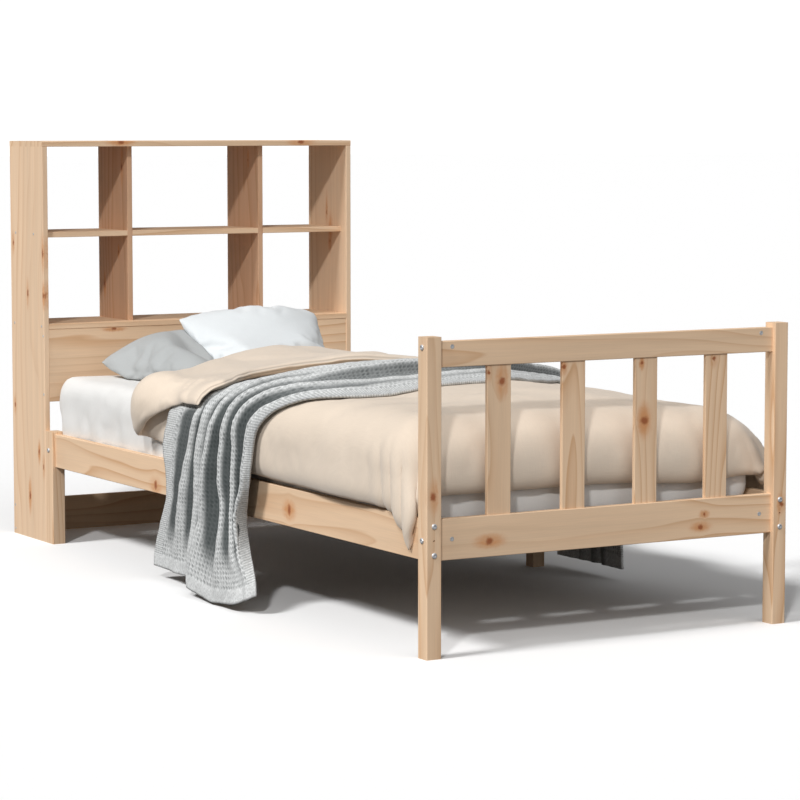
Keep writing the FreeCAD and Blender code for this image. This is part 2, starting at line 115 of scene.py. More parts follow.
class BedSizes(bpy.types.PropertyGroup):
    """Sizes of the made bed's soft pieces and hardware"""

    duvet_half: metres("Duvet half width", "From the middle to the outside of the side drop", 0.4955)
    left_shoulder: metres("Left shoulder", "Radius of the duvet's left edge", 0.105)
    right_shoulder: metres("Right shoulder", "Radius of the duvet's right edge", 0.190)
    foot_shoulder: metres("Foot shoulder", "Radius of the duvet's foot edge", 0.130)
    duvet_edge: metres("Duvet edge height", "Height where the top meets the shoulders", 0.516)
    duvet_thick: metres("Duvet thickness", "Filled thickness on top", 0.045)
    duvet_mesh: metres("Duvet mesh", "Spacing of the duvet's mesh", 0.016)
    throw_cell: metres("Waffle cell", "Pitch of the throw's waffle", 0.0112)
    bolt_head: metres("Bolt head", "Diameter of the bolt heads", 0.013)
    screw_head: metres("Screw head", "Diameter of the bookcase screws", 0.0075)


def mix(a, b, share):
    return a + (b - a) * share


def ease(low, high, value):
    """0 up to low, 1 from high on, with a smooth step between"""
    share = numpy.clip((value - low) / (high - low), 0.0, 1.0)
    return share * share * (3.0 - 2.0 * share)


def cloud(points, size, seed, octaves=2):
    """Smooth noise of about -1 to 1 at each point"""
    shift = Vector((seed * 7.31, seed * -3.17, seed * 5.93))
    size = Vector(size) if hasattr(size, "__len__") else Vector((size, size, size))
    values = [
        noise.fractal(Vector((p[0] / size.x, p[1] / size.y, p[2] / size.z)) + shift, 0.8, 2.0, octaves)
        for p in points
    ]
    return numpy.array(values)


def grid_faces(rows, columns, start=0, flip=False):
    faces = []
    for row in range(rows - 1):
        for column in range(columns - 1):
            a = start + row * columns + column
            quad = (a, a + 1, a + columns + 1, a + columns)
            faces.append(quad[::-1] if flip else quad)
    return faces


def rim(rows, columns):
    """Indexes of a grid's outer points in order"""
    ring = list(range(columns))
    ring += [row * columns + columns - 1 for row in range(1, rows)]
    ring += [(rows - 1) * columns + column for column in range(columns - 2, -1, -1)]
    ring += [row * columns for row in range(rows - 2, 0, -1)]
    return ring


def quilt(upper, lower):
    """Points and faces of a closed form between two grids of points"""
    rows, columns = upper.shape[:2]
    count = rows * columns
    faces = grid_faces(rows, columns) + grid_faces(rows, columns, count, True)
    ring = rim(rows, columns)
    for here, there in zip(ring, ring[1:] + ring[:1]):
        faces.append((there, here, here + count, there + count))
    return numpy.concatenate([upper.reshape(-1, 3), lower.reshape(-1, 3)]), faces


def new_piece(name, points, faces, finish=None, smooth=True):
    mesh = bpy.data.meshes.new(name)
    mesh.from_pydata([tuple(p) for p in points], [], faces)
    mesh.validate()
    piece = bpy.data.objects.new(name, mesh)
    bpy.context.scene.collection.objects.link(piece)
    if finish:
        mesh.materials.append(finish)
    if smooth:
        mesh.polygons.foreach_set("use_smooth", [True] * len(mesh.polygons))
    return piece


def outward(piece):
    work = bmesh.new()
    work.from_mesh(piece.data)
    bmesh.ops.recalc_face_normals(work, faces=work.faces)
    work.to_mesh(piece.data)
    work.free()


def soften(piece):
    """One level of subdivision"""
    soft = piece.modifiers.new("soft", "SUBSURF")
    soft.levels = soft.render_levels = 1


def mark(piece, name, values):
    """Keeps a value for each point of a quilt's upper grid, and the same for its lower grid"""
    kept = piece.data.attributes.new(name, "FLOAT", "POINT")
    kept.data.foreach_set("value", numpy.tile(values.reshape(-1).astype(float), 2))


def settle(piece):
    """Replaces the piece's mesh by what its modifiers make of it"""
    graph = bpy.context.evaluated_depsgraph_get()
    made = bpy.data.meshes.new_from_object(piece.evaluated_get(graph))
    made.name = piece.name
    old = piece.data
    piece.modifiers.clear()
    piece.data = made
    bpy.data.meshes.remove(old)


def feed(tree, made, inputs):
    """Sets a node's inputs, by a link where the value comes from another node"""
    for key, value in inputs.items():
        if isinstance(value, bpy.types.NodeSocket):
            tree.links.new(value, made.inputs[key])
        else:
            made.inputs[key].default_value = value


def node(tree, kind, inputs=(), **settings):
    made = tree.nodes.new(kind)
    for name, value in settings.items():
        setattr(made, name, value)
    feed(tree, made, dict(inputs))
    return made


def calc(tree, operation, a, b=0.0, clamp=False):
    return node(tree, "ShaderNodeMath", {0: a, 1: b}, operation=operation, use_clamp=clamp).outputs[0]


def plus(tree, a, b):
    return calc(tree, "ADD", a, b)


def minus(tree, a, b):
    return calc(tree, "SUBTRACT", a, b)


def times(tree, a, b):
    return calc(tree, "MULTIPLY", a, b)


def vec(tree, operation, a, b=(0, 0, 0)):
    made = node(tree, "ShaderNodeVectorMath", {0: a, 1: b}, operation=operation)
    return made.outputs["Value" if operation == "LENGTH" else "Vector"]


def scaled(tree, value, factor):
    return node(tree, "ShaderNodeVectorMath", {0: value, "Scale": factor}, operation="SCALE").outputs[0]


def speckle(tree, place, scale, detail, roughness=0.5, distortion=0.0):
    """Noise of 0 to 1"""
    return node(tree, "ShaderNodeTexNoise", {
        "Vector": place, "Scale": scale, "Detail": detail, "Roughness": roughness,
        "Distortion": distortion}).outputs[0]


def blend_colour(tree, share, a, b):
    return node(tree, "ShaderNodeMix", {0: share, 6: a, 7: b}, data_type="RGBA").outputs[2]


def spread(tree, value, low, high, to_low, to_high):
    made = node(tree, "ShaderNodeMapRange", {0: value, 1: low, 2: high, 3: to_low, 4: to_high})
    made.interpolation_type = "SMOOTHSTEP"
    return made.outputs[0]


def ramp(tree, value, stops):
    made = node(tree, "ShaderNodeValToRGB", {0: value})
    points = made.color_ramp.elements
    while len(points) < len(stops):
        points.new(0.5)
    for point, (place, level) in zip(points, stops):
        point.position = place
        point.color = (level, level, level, 1.0)
    return made.outputs[0]


def bump(tree, strength, distance, height):
    return node(tree, "ShaderNodeBump", {
        "Strength": strength, "Distance": distance, "Height": height}).outputs[0]


def marked(tree, name):
    """The value that mark() kept at each point"""
    return node(tree, "ShaderNodeAttribute", attribute_name=name).outputs["Fac"]


def object_place(tree):
    return node(tree, "ShaderNodeTexCoord").outputs["Object"]


def group(name, sockets_in, sockets_out):
    """A shader group's tree, what its input node gives and its output node"""
    tree = bpy.data.node_groups.new(name, "ShaderNodeTree")
    for label, kind, value in sockets_in:
        made = tree.interface.new_socket(label, in_out="INPUT", socket_type="NodeSocket" + kind)
        if value is not None:
            made.default_value = value
    for label, kind in sockets_out:
        tree.interface.new_socket(label, in_out="OUTPUT", socket_type="NodeSocket" + kind)
    return tree, node(tree, "NodeGroupInput").outputs, node(tree, "NodeGroupOutput")


def use_group(tree, name, inputs):
    return node(tree, "ShaderNodeGroup", inputs, node_tree=bpy.data.node_groups[name]).outputs


def material(name):
    made = bpy.data.materials.new(name)
    made.use_nodes = True
    return made, made.node_tree, made.node_tree.nodes["Principled BSDF"]


def colour(value, share=1.0):
    return (value[0] * share, value[1] * share, value[2] * share, 1.0)


def chosen(key):
    """A colour from the settings"""
    return tuple(getattr(bpy.context.scene.bed_finish, key))


def knot_group():
    """One knot: its core, its halo and how far it pushes the grain aside"""
    tree, given, out = group(
        "One knot",
        [("Position", "Vector", None), ("Place", "Vector", None), ("Size", "Vector", (0.008, 0.008, 0.008)),
         ("Halo size", "Vector", (0.01, 0.01, 0.01))],
        [("Core", "Float"), ("Halo", "Float"), ("Push", "Vector")])
    wobble = node(tree, "ShaderNodeTexNoise", {"Vector": given["Position"], "Scale": 120.0, "Detail": 2.0})
    stir = vec(tree, "SUBTRACT", wobble.outputs["Color"], (0.5, 0.5, 0.5))
    stir = vec(tree, "MULTIPLY", stir, (0.008, 0.008, 0.008))
    offset = vec(tree, "SUBTRACT", vec(tree, "ADD", given["Position"], stir), given["Place"])
    reach = vec(tree, "LENGTH", vec(tree, "DIVIDE", offset, given["Size"]))
    wide = vec(tree, "LENGTH", vec(tree, "DIVIDE", offset, given["Halo size"]))
    fall = calc(tree, "DIVIDE", 1.1, plus(tree, 0.55, times(tree, reach, reach)))
    feed(tree, out, {
        "Core": spread(tree, reach, 0.35, 1.15, 1.0, 0.0),
        "Halo": spread(tree, wide, 0.5, 1.9, 1.0, 0.0),
        "Push": scaled(tree, offset, fall)})


def pine_group():
    """Growth rings, patches, streaks and fibres along the grain, with the colours of knots"""
    tree, given, out = group(
        "Pine figure",
        [("Along", "Float", 0.0), ("Across", "Float", 0.0), ("Through", "Float", 0.0),
         ("Core", "Float", 0.0), ("Halo", "Float", 0.0), ("Early", "Color", None), ("Late", "Color", None),
         ("Knot", "Color", None), ("Rings", "Float", 7.0), ("Strength", "Float", 0.8)],
        [("Color", "Color"), ("Roughness", "Float"), ("Height", "Float")])
    halo_colour = (0.64, 0.28, 0.105, 1.0)
    ring_pitch = 28.0

    def stretched(along, across):
        sizes = (("Along", along), ("Across", across), ("Through", across))
        parts = [times(tree, given[key], size) for key, size in sizes]
        return node(tree, "ShaderNodeCombineXYZ", dict(enumerate(parts))).outputs[0]

    field = speckle(tree, stretched(1.1, 8.5), 1.0, 1.5, 0.45, 0.25)
    slope = times(tree, plus(tree, given["Across"], given["Through"]), ring_pitch)
    ring = calc(tree, "FRACT", plus(tree, times(tree, field, given["Rings"]), slope))
    line = ramp(tree, ring, [(0.0, 0.05), (0.50, 0.14), (0.80, 0.55), (0.94, 1.0), (1.0, 0.05)])
    patch = speckle(tree, stretched(0.8, 4.0), 1.3, 1.0)
    fibre = speckle(tree, stretched(9.0, 420.0), 1.0, 2.0, 0.6)
    streak = speckle(tree, stretched(1.6, 60.0), 1.0, 2.0)
    visible = times(tree, line, spread(tree, patch, 0.32, 0.68, 0.25, 1.0))
    share = calc(tree, "MULTIPLY", visible, given["Strength"], clamp=True)
    wood = blend_colour(tree, share, given["Early"], given["Late"])
    fine = times(tree, minus(tree, fibre, 0.5), 0.16)
    fine = plus(tree, fine, times(tree, minus(tree, streak, 0.5), 0.18))
    toned = scaled(tree, wood, plus(tree, spread(tree, patch, 0.3, 0.7, 0.93, 1.05), fine))
    streaked = times(tree, given["Halo"], spread(tree, streak, 0.35, 0.62, 0.35, 0.85))
    warm = blend_colour(tree, streaked, toned, halo_colour)
    rough = plus(tree, 0.50, times(tree, fibre, 0.16))
    feed(tree, out, {
        "Color": blend_colour(tree, times(tree, given["Core"], 0.92), warm, given["Knot"]),
        "Roughness": minus(tree, rough, times(tree, given["Core"], 0.12)),
        "Height": plus(tree, times(tree, line, 0.45), times(tree, fibre, 0.55))})


def cm(x, y, z):
    """A place given in centimetres from the outside of the left foot post's front corner"""
    left, front = 47.75, 114.15
    return ((x - left) / 100.0, (y - front) / 100.0, z / 100.0)


def pine(name, grain, rings, strength, tone, knots):
    """A pine finish whose grain runs along X, Y or Z, with knots given by place and half sizes in cm"""
    finish = bpy.context.scene.bed_finish
    made, tree, shader = material(name)
    place = object_place(tree)
    moved, core, halo = place, 0.0, 0.0
    along = "XYZ".index(grain)
    long_halo, wide_halo = 2.6, 1.15
    for knot in knots:
        size = [v / 100.0 for v in knot[3:]]
        halo_size = [v * (long_halo if axis == along else wide_halo) for axis, v in enumerate(size)]
        made_knot = use_group(tree, "One knot", {
            "Position": place, "Place": cm(*knot[:3]), "Size": size, "Halo size": halo_size})
        moved = vec(tree, "SUBTRACT", moved, made_knot["Push"])
        core = calc(tree, "MAXIMUM", core, made_knot["Core"])
        halo = calc(tree, "MAXIMUM", halo, made_knot["Halo"])
    parts = node(tree, "ShaderNodeSeparateXYZ", {0: moved}).outputs
    across, through = (axis for axis in range(3) if axis != along)
    figure = use_group(tree, "Pine figure", {
        "Along": parts[along], "Across": parts[across], "Through": parts[through],
        "Core": core, "Halo": halo, "Early": colour([v * t for v, t in zip(finish.early, tone)]),
        "Late": colour([v * t for v, t in zip(finish.late, tone)]), "Knot": colour(finish.knot),
        "Rings": rings, "Strength": strength})
    feed(tree, shader, {
        "Base Color": figure["Color"], "Roughness": figure["Roughness"],
        "Normal": bump(tree, 0.18, 0.0006, figure["Height"]), "Specular IOR Level": 0.35})
    return made


def weave_group():
    """Threads of a plain weave both ways over a cloth, with slubs and blotches in its tone"""
    tree, given, out = group(
        "Plain weave",
        [("Position", "Vector", None), ("Base", "Color", None), ("Slub", "Float", 0.1),
         ("Blotch", "Float", 0.05)],
        [("Color", "Color"), ("Height", "Float")])
    fine, coarse, hang = 900.0, 28.0, 0.85
    parts = node(tree, "ShaderNodeSeparateXYZ", {0: given["Position"]}).outputs
    flat = node(tree, "ShaderNodeCombineXYZ", {
        0: parts[0], 1: plus(tree, parts[1], times(tree, parts[2], hang))}).outputs[0]
    long_way = speckle(tree, vec(tree, "MULTIPLY", flat, (fine, coarse, 1.0)), 1.0, 2.0)
    cross_way = speckle(tree, vec(tree, "MULTIPLY", flat, (coarse, fine, 1.0)), 1.0, 2.0)
    blotch = minus(tree, speckle(tree, given["Position"], 9.0, 3.0, 0.6), 0.5)
    threads = minus(tree, plus(tree, long_way, cross_way), 1.0)
    change = plus(tree, times(tree, threads, given["Slub"]), times(tree, blotch, given["Blotch"]))
    feed(tree, out, {"Color": scaled(tree, given["Base"], plus(tree, 1.0, change)), "Height": threads})


def woven(name, base, slub, rough, sheen, relief=0.25, seam=None):
    """A woven cloth, with a line of painted shade where the seam mark is 1, for the shade in the crease of a
    stitched seam
    """
    made, tree, shader = material(name)
    cloth = use_group(tree, "Plain weave", {
        "Position": object_place(tree), "Base": colour(base), "Slub": slub, "Blotch": 0.07})
    tone = cloth["Color"]
    if seam:
        # Painted shade: the seam mark darkens the cloth as the crease of the seam would shade it
        tone = blend_colour(tree, times(tree, marked(tree, seam), 0.6), tone, colour(base, 0.35))
    feed(tree, shader, {
        "Base Color": tone, "Normal": bump(tree, relief, 0.0008, cloth["Height"]), "Roughness": rough,
        "Specular IOR Level": 0.2, "Sheen Weight": sheen, "Sheen Roughness": 0.5})
    return made


class BED_OT_stage(bpy.types.Operator):
    """Floor, lights and camera"""

    bl_idname = "bed.stage"
    bl_label = "Set the stage"

    floor_half = 90.0
    white = (1.0, 1.0, 1.0, 1.0)
    # Floor colours to the camera and to other rays, and the sky's strengths as a light and as seen
    floor_seen, floor_bounce = (0.97, 0.97, 0.97, 1.0), (0.20, 0.20, 0.20, 1.0)
    sky_light, sky_seen = 0.155, 1.1
    # Each light's way out from the bed, its angle in degrees and its strength
    lamps = {
        "key": ((-0.55, -0.61, 0.57), 4.0, 1.18),
        "left_fill": ((-0.69, -0.05, 0.71), 14.0, 2.28),
        "front_fill": ((-0.05, -0.80, 0.60), 70.0, 0.74),
    }
    lamp_far = 6.0
    # The camera's place, its tilt and turn in degrees, its lens and sensor in mm, and how far it sees
    view_place, view_tilt, view_turn = (-3.61224, -6.46820, 1.14184), 84.617, -29.950
    view_lens, view_sensor, view_end = 131.877, 36.0, 200.0

    def execute(self, context):
        scene = context.scene
        scene.view_settings.view_transform = "Standard"
        self.floor()
        self.sky(scene)
        for name, (way, angle, strength) in self.lamps.items():
            lamp = bpy.data.lights.new(name, "SUN")
            lamp.angle = math.radians(angle)
            lamp.energy = strength
            holder = bpy.data.objects.new(name, lamp)
            holder.rotation_euler = Vector(way).to_track_quat("Z", "Y").to_euler()
            holder.location = Vector(way) * self.lamp_far
            scene.collection.objects.link(holder)
        view = bpy.data.cameras.new("view")
        view.lens = self.view_lens
        view.sensor_width = self.view_sensor
        view.clip_end = self.view_end
        holder = bpy.data.objects.new("view", view)
        holder.location = self.view_place
        holder.rotation_euler = (math.radians(self.view_tilt), 0.0, math.radians(self.view_turn))
        scene.collection.objects.link(holder)
        scene.camera = holder
        return {"FINISHED"}

    def floor(self):
        """White to the camera, and darker to other rays so that it throws little light back"""
        finish, tree, shader = material("floor_white")
        seen = node(tree, "ShaderNodeLightPath").outputs["Is Camera Ray"]
        feed(tree, shader, {
            "Base Color": blend_colour(tree, seen, self.floor_bounce, self.floor_seen), "Roughness": 0.9,
            "Specular IOR Level": 0.0})
        far = self.floor_half
        corners = [(-far, -far, 0), (far, -far, 0), (far, far, 0), (-far, far, 0)]
        floor = new_piece("floor", corners, [(0, 1, 2, 3)], finish, False)

    def sky(self, scene):
        """White to the camera, and dim as a light"""
        scene.world = bpy.data.worlds.new("studio")
        scene.world.use_nodes = True
        sky = scene.world.node_tree
        soft = sky.nodes["Background"]
        feed(sky, soft, {"Color": self.white, "Strength": self.sky_light})
        bright = node(sky, "ShaderNodeBackground", {"Color": self.white, "Strength": self.sky_seen})
        seen = node(sky, "ShaderNodeLightPath").outputs["Is Camera Ray"]
        both = node(sky, "ShaderNodeMixShader", {0: seen, 1: soft.outputs[0], 2: bright.outputs[0]})
        feed(sky, sky.nodes["World Output"], {0: both.outputs[0]})


class BED_OT_pine(bpy.types.Operator):
    """Pine finishes on every board, post, rail and slat"""

    bl_idname = "bed.pine"
    bl_label = "Finish the pine"

    # Each finish's grain, rings, strength, tone and knots, and each knot's place and half sizes in cm
    # The inner tone is painted shade: it darkens the dividers, which stand in the shade inside the bookcase
    plain, inner = (1.0, 1.0, 1.0), (0.81, 0.70, 0.66)
    finishes = {
        "pine_posts": ("Z", 9.0, 0.8, plain, (
            (1.6, 0.0, 35.1, 0.9, 2.2, 1.1), (94.1, 0.0, 27.6, 0.8, 2.0, 0.7))),
        "pine_rails": ("X", 6.0, 0.8, plain, (
            (16.3, 1.0, 24.5, 1.1, 3.0, 1.0), (72.1, 1.0, 23.7, 0.8, 3.0, 0.8),
            (73.2, 1.0, 26.6, 0.4, 3.0, 0.6))),
        "pine_slats": ("Z", 8.0, 0.8, plain, (
            (19.6, 1.5, 58.9, 1.0, 3.0, 1.1), (56.9, 1.5, 48.6, 1.3, 3.0, 1.1),
            (16.3, 1.5, 61.0, 0.5, 3.0, 0.6), (35.6, 1.5, 61.5, 0.6, 3.0, 0.6),
            (56.1, 1.5, 61.5, 0.5, 3.0, 0.5), (75.8, 1.5, 61.6, 0.6, 3.0, 0.6))),
        "pine_side_rails": ("Y", 6.0, 0.8, plain, (
            (1.0, 64.5, 25.0, 3.0, 0.9, 1.5), (1.0, 137.0, 23.1, 3.0, 1.0, 1.4),
            (1.0, 9.1, 25.5, 3.0, 0.7, 0.8), (94.6, 40.0, 26.0, 3.0, 1.1, 1.3),
            (94.6, 150.0, 24.0, 3.0, 1.0, 1.2))),
        "pine_deck": ("X", 7.0, 0.8, (0.96, 0.96, 0.96), ()),
        "pine_boards": ("Z", 6.0, 0.8, (1.07, 1.08, 1.10), (
            (0.0, 206.0, 79.1, 2.0, 0.5, 1.5), (0.0, 216.5, 67.7, 2.0, 0.6, 1.2),
            (0.0, 205.8, 67.6, 2.0, 0.5, 1.1), (0.0, 226.4, 81.4, 2.0, 0.5, 0.9),
            (0.0, 226.4, 36.2, 2.0, 0.5, 0.8), (0.0, 209.8, 24.5, 2.0, 0.6, 0.9),
            (0.0, 206.8, 20.7, 2.0, 0.5, 1.0), (0.0, 216.5, 11.7, 2.0, 0.7, 1.4),
            (95.5, 215.0, 84.0, 2.0, 1.0, 1.4), (95.5, 212.0, 40.0, 2.0, 0.9, 1.4),
            (93.6, 217.2, 89.1, 0.6, 0.5, 1.6), (93.6, 215.3, 80.4, 0.6, 0.8, 1.0))),
        "pine_dividers": ("Z", 6.0, 0.8, inner, (
            (27.4, 212.3, 102.2, 2.0, 0.6, 1.6), (27.4, 224.4, 69.1, 2.0, 0.6, 1.1),
            (27.4, 214.9, 78.8, 2.0, 0.4, 0.6), (66.0, 215.0, 103.9, 2.0, 0.5, 0.8))),
        "pine_shelves": ("X", 5.0, 0.8, plain, (
            (79.4, 205.5, 109.1, 1.2, 2.0, 0.8), (23.4, 205.5, 109.3, 1.2, 2.0, 0.8),
            (20.9, 206.0, 57.9, 1.0, 3.0, 0.5), (55.0, 215.0, 108.8, 1.2, 1.0, 2.0),
            (62.0, 206.5, 46.0, 1.2, 3.0, 0.9))),
        "beech": ("X", 7.0, 0.3, (0.9, 0.9, 0.9), ()),
    }
    # The finish of nodes by the start of their names, and the first that fits counts
    wanted = (
        ("foot_post", "pine_posts"), ("head_leg", "pine_posts"), ("mid_leg", "pine_posts"),
        ("footboard_slat", "pine_slats"), ("footboard", "pine_rails"), ("head_cross", "pine_rails"),
        ("side_rail_bolts", None), ("side_rail", "pine_side_rails"), ("slat_ledger", "pine_side_rails"),
        ("deck_slat", "pine_deck"), ("case_side", "pine_boards"), ("case_divider", "pine_dividers"),
        ("case_", "pine_shelves"), ("headboard_panel", "pine_shelves"), ("loose_tenons", "beech"))

    def execute(self, context):
        knot_group()
        pine_group()
        made = {name: pine(name, *values) for name, values in self.finishes.items()}
        for name, board in frame["nodes"].items():
            finish = next((finish for start, finish in self.wanted if name.startswith(start)), None)
            if finish:
                dress(board, made[finish])
        return {"FINISHED"}


def dress(board, finish):
    board.data.materials.clear()
    board.data.materials.append(finish)


def turned(profile, sides):
    """A closed turned form from (radius, height) pairs, lowest first"""
    points, faces = [], []
    for radius, height in profile:
        for side in range(sides):
            angle = 2.0 * math.pi * side / sides
            points.append((radius * math.cos(angle), radius * math.sin(angle), height))
    for ring in range(len(profile) - 1):
        for side in range(sides):
            a, b = ring * sides + side, ring * sides + (side + 1) % sides
            faces.append((a, b, b + sides, a + sides))
    faces.append(tuple(range(sides))[::-1])
    last = (len(profile) - 1) * sides
    faces.append(tuple(range(last, last + sides)))
    return points, faces


def hardware_tree(finish, pattern):
    """A tree that sets one pattern at each point of a mesh, turned along its way attribute"""
    tree = bpy.data.node_groups.new("Set hardware", "GeometryNodeTree")
    tree.interface.new_socket("Geometry", in_out="INPUT", socket_type="NodeSocketGeometry")
    size = tree.interface.new_socket("Head size", in_out="INPUT", socket_type="NodeSocketFloat")
    size.default_value = 1.0
    tree.interface.new_socket("Geometry", in_out="OUTPUT", socket_type="NodeSocketGeometry")
    start = node(tree, "NodeGroupInput").outputs
    way = node(tree, "GeometryNodeInputNamedAttribute", {"Name": "way"}, data_type="FLOAT_VECTOR")
    turn = node(tree, "FunctionNodeAlignRotationToVector", {"Vector": way.outputs[0]}, axis="Z")
    head = node(tree, "GeometryNodeObjectInfo", {"Object": pattern})
    placed = node(tree, "GeometryNodeInstanceOnPoints", {
        "Points": start["Geometry"], "Instance": head.outputs["Geometry"],
        "Rotation": turn.outputs[0], "Scale": start["Head size"]})
    real = node(tree, "GeometryNodeRealizeInstances", {0: placed.outputs[0]})
    dressed = node(tree, "GeometryNodeSetMaterial", {"Geometry": real.outputs[0], "Material": finish})
    node(tree, "NodeGroupOutput", {0: dressed.outputs[0]})
    return tree, size.identifier


def set_hardware(name, pattern_form, places, finish, head_size=1.0):
    """One piece of like heads at places given as (point, way)"""
    pattern = new_piece(name + "_pattern", *pattern_form, finish, False)
    piece = new_piece(name, [p for p, _ in places], [])
    way = piece.data.attributes.new("way", "FLOAT_VECTOR", "POINT")
    way.data.foreach_set("vector", [v for _, w in places for v in w])
    tree, size_key = hardware_tree(finish, pattern)
    set_up = piece.modifiers.new("hardware", "NODES")
    set_up.node_group = tree
    set_up[size_key] = head_size
    settle(piece)
    bpy.data.objects.remove(pattern)
    if "way" in piece.data.attributes:
        piece.data.attributes.remove(piece.data.attributes["way"])
    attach(piece, BODY)
    return piece


def zinc_finish():
    """Zinc plating with a faint spangle"""
    made, tree, shader = material("zinc_steel")
    base = chosen("zinc")
    spangle = speckle(tree, object_place(tree), 420.0, 2.0)
    bright = spread(tree, spangle, 0.3, 0.7, 0.0, 1.0)
    feed(tree, shader, {
        "Base Color": blend_colour(tree, bright, colour(base, 0.72), colour(base)),
        "Roughness": spread(tree, spangle, 0.3, 0.7, 0.55, 0.40), "Metallic": 0.6})
    return made


class BED_OT_hardware(bpy.types.Operator):
    """Bolt heads, cross nuts, brackets and bookcase screws"""

    bl_idname = "bed.hardware"
    bl_label = "Set the hardware"

    # Middle of the side rails, outside of the posts and middle of the cross nuts, from the bed's middle
    rail_x, post_x, nut_x = 0.459, 0.4775, 0.4085
    rail_bolts_z, top_bolt_z, low_bolt_z = (0.22475, 0.28725), 0.6696, 0.256
    head_seat_y, foot_bolt_y, head_bolt_y = 0.9075, -1.1225, 0.890
    foot_nut_y, head_nut_y = -1.1315, 0.899
    nut_form = ((0.005, -0.012), (0.005, -0.0004), (0.0046, 0.0), (0.0022, 0.0), (0.0019, -0.0008),
                (0.0006, -0.001))
    screw_form = ((0.0037, -0.0006), (0.0037, 0.0001), (0.0034, 0.0004), (0.0014, 0.0004),
                  (0.0010, -0.0002), (0.0004, -0.0003))
    screw_wide = 0.0074
    # Screws in the bookcase's sides, as depth and height in cm, and depths of those in its top
    side_screws = ((224.6, 84.2), (212.1, 84.2), (226.1, 59.1), (207.1, 59.2), (206.1, 56.6), (206.1, 40.6),
                   (227.1, 8.0), (227.1, 1.4))
    top_screws = (210.0, 224.0)

    def execute(self, context):
        sizes = context.scene.bed_sizes
        zinc = zinc_finish()
        rail_bolts, cross_bolts, nuts, screws = [], [], [], []
        for side in (-1.0, 1.0):
            way = (side, 0, 0)
            x = side * self.rail_x
            rail_bolts += [((x, FOOT_Y, z), FORWARD) for z in self.rail_bolts_z]
            rail_bolts.append(((x, self.head_seat_y, self.rail_bolts_z[1]), BACKWARD))
            x = side * self.post_x
            cross_bolts += [((x, self.foot_bolt_y, z), way) for z in (self.top_bolt_z, self.low_bolt_z)]
            cross_bolts.append(((x, self.head_bolt_y, self.low_bolt_z), way))
            screws += [((x, *cm(0.0, deep, z)[1:]), way) for deep, z in self.side_screws]
            x = side * self.nut_x
            nuts += [((x, self.foot_nut_y, z), FORWARD) for z in (self.top_bolt_z, self.low_bolt_z)]
            nuts.append(((x, self.head_nut_y, self.low_bolt_z), BACKWARD))
        for board in ("case_side_left", "case_divider_left", "case_divider_right", "case_side_right"):
            low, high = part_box(board)
            for deep in self.top_screws:
                screws.append((((low[0] + high[0]) / 2.0, cm(0.0, deep, 0.0)[1], CAD_BOX[1][2]), UP))
        bolt = turned(self.bolt_form(sizes.bolt_head / 2.0), 24)
        for name, places in (("side_rail_bolts", rail_bolts), ("cross_rail_bolts", cross_bolts)):
            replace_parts(set_hardware(name + "_heads", bolt, places, zinc), name)
        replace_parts(set_hardware("cross_nuts", turned(self.nut_form, 20), nuts, zinc), "barrel_nuts")
        set_hardware("case_screws", turned(self.screw_form, 16), screws, zinc,
                     sizes.screw_head / self.screw_wide)
        dress(frame["nodes"]["corner_brackets"], zinc)
        return {"FINISHED"}

    def bolt_form(self, half):
        """A domed head with a round recess in its top"""
        inner = half * 0.52
        return [(half * 0.96, 0.0), (half, 0.0006), (half * 0.98, 0.0014), (half * 0.86, 0.0026),
                (half * 0.70, 0.0033), (inner, 0.0035), (inner * 0.94, 0.0034), (inner * 0.94, 0.0012)]


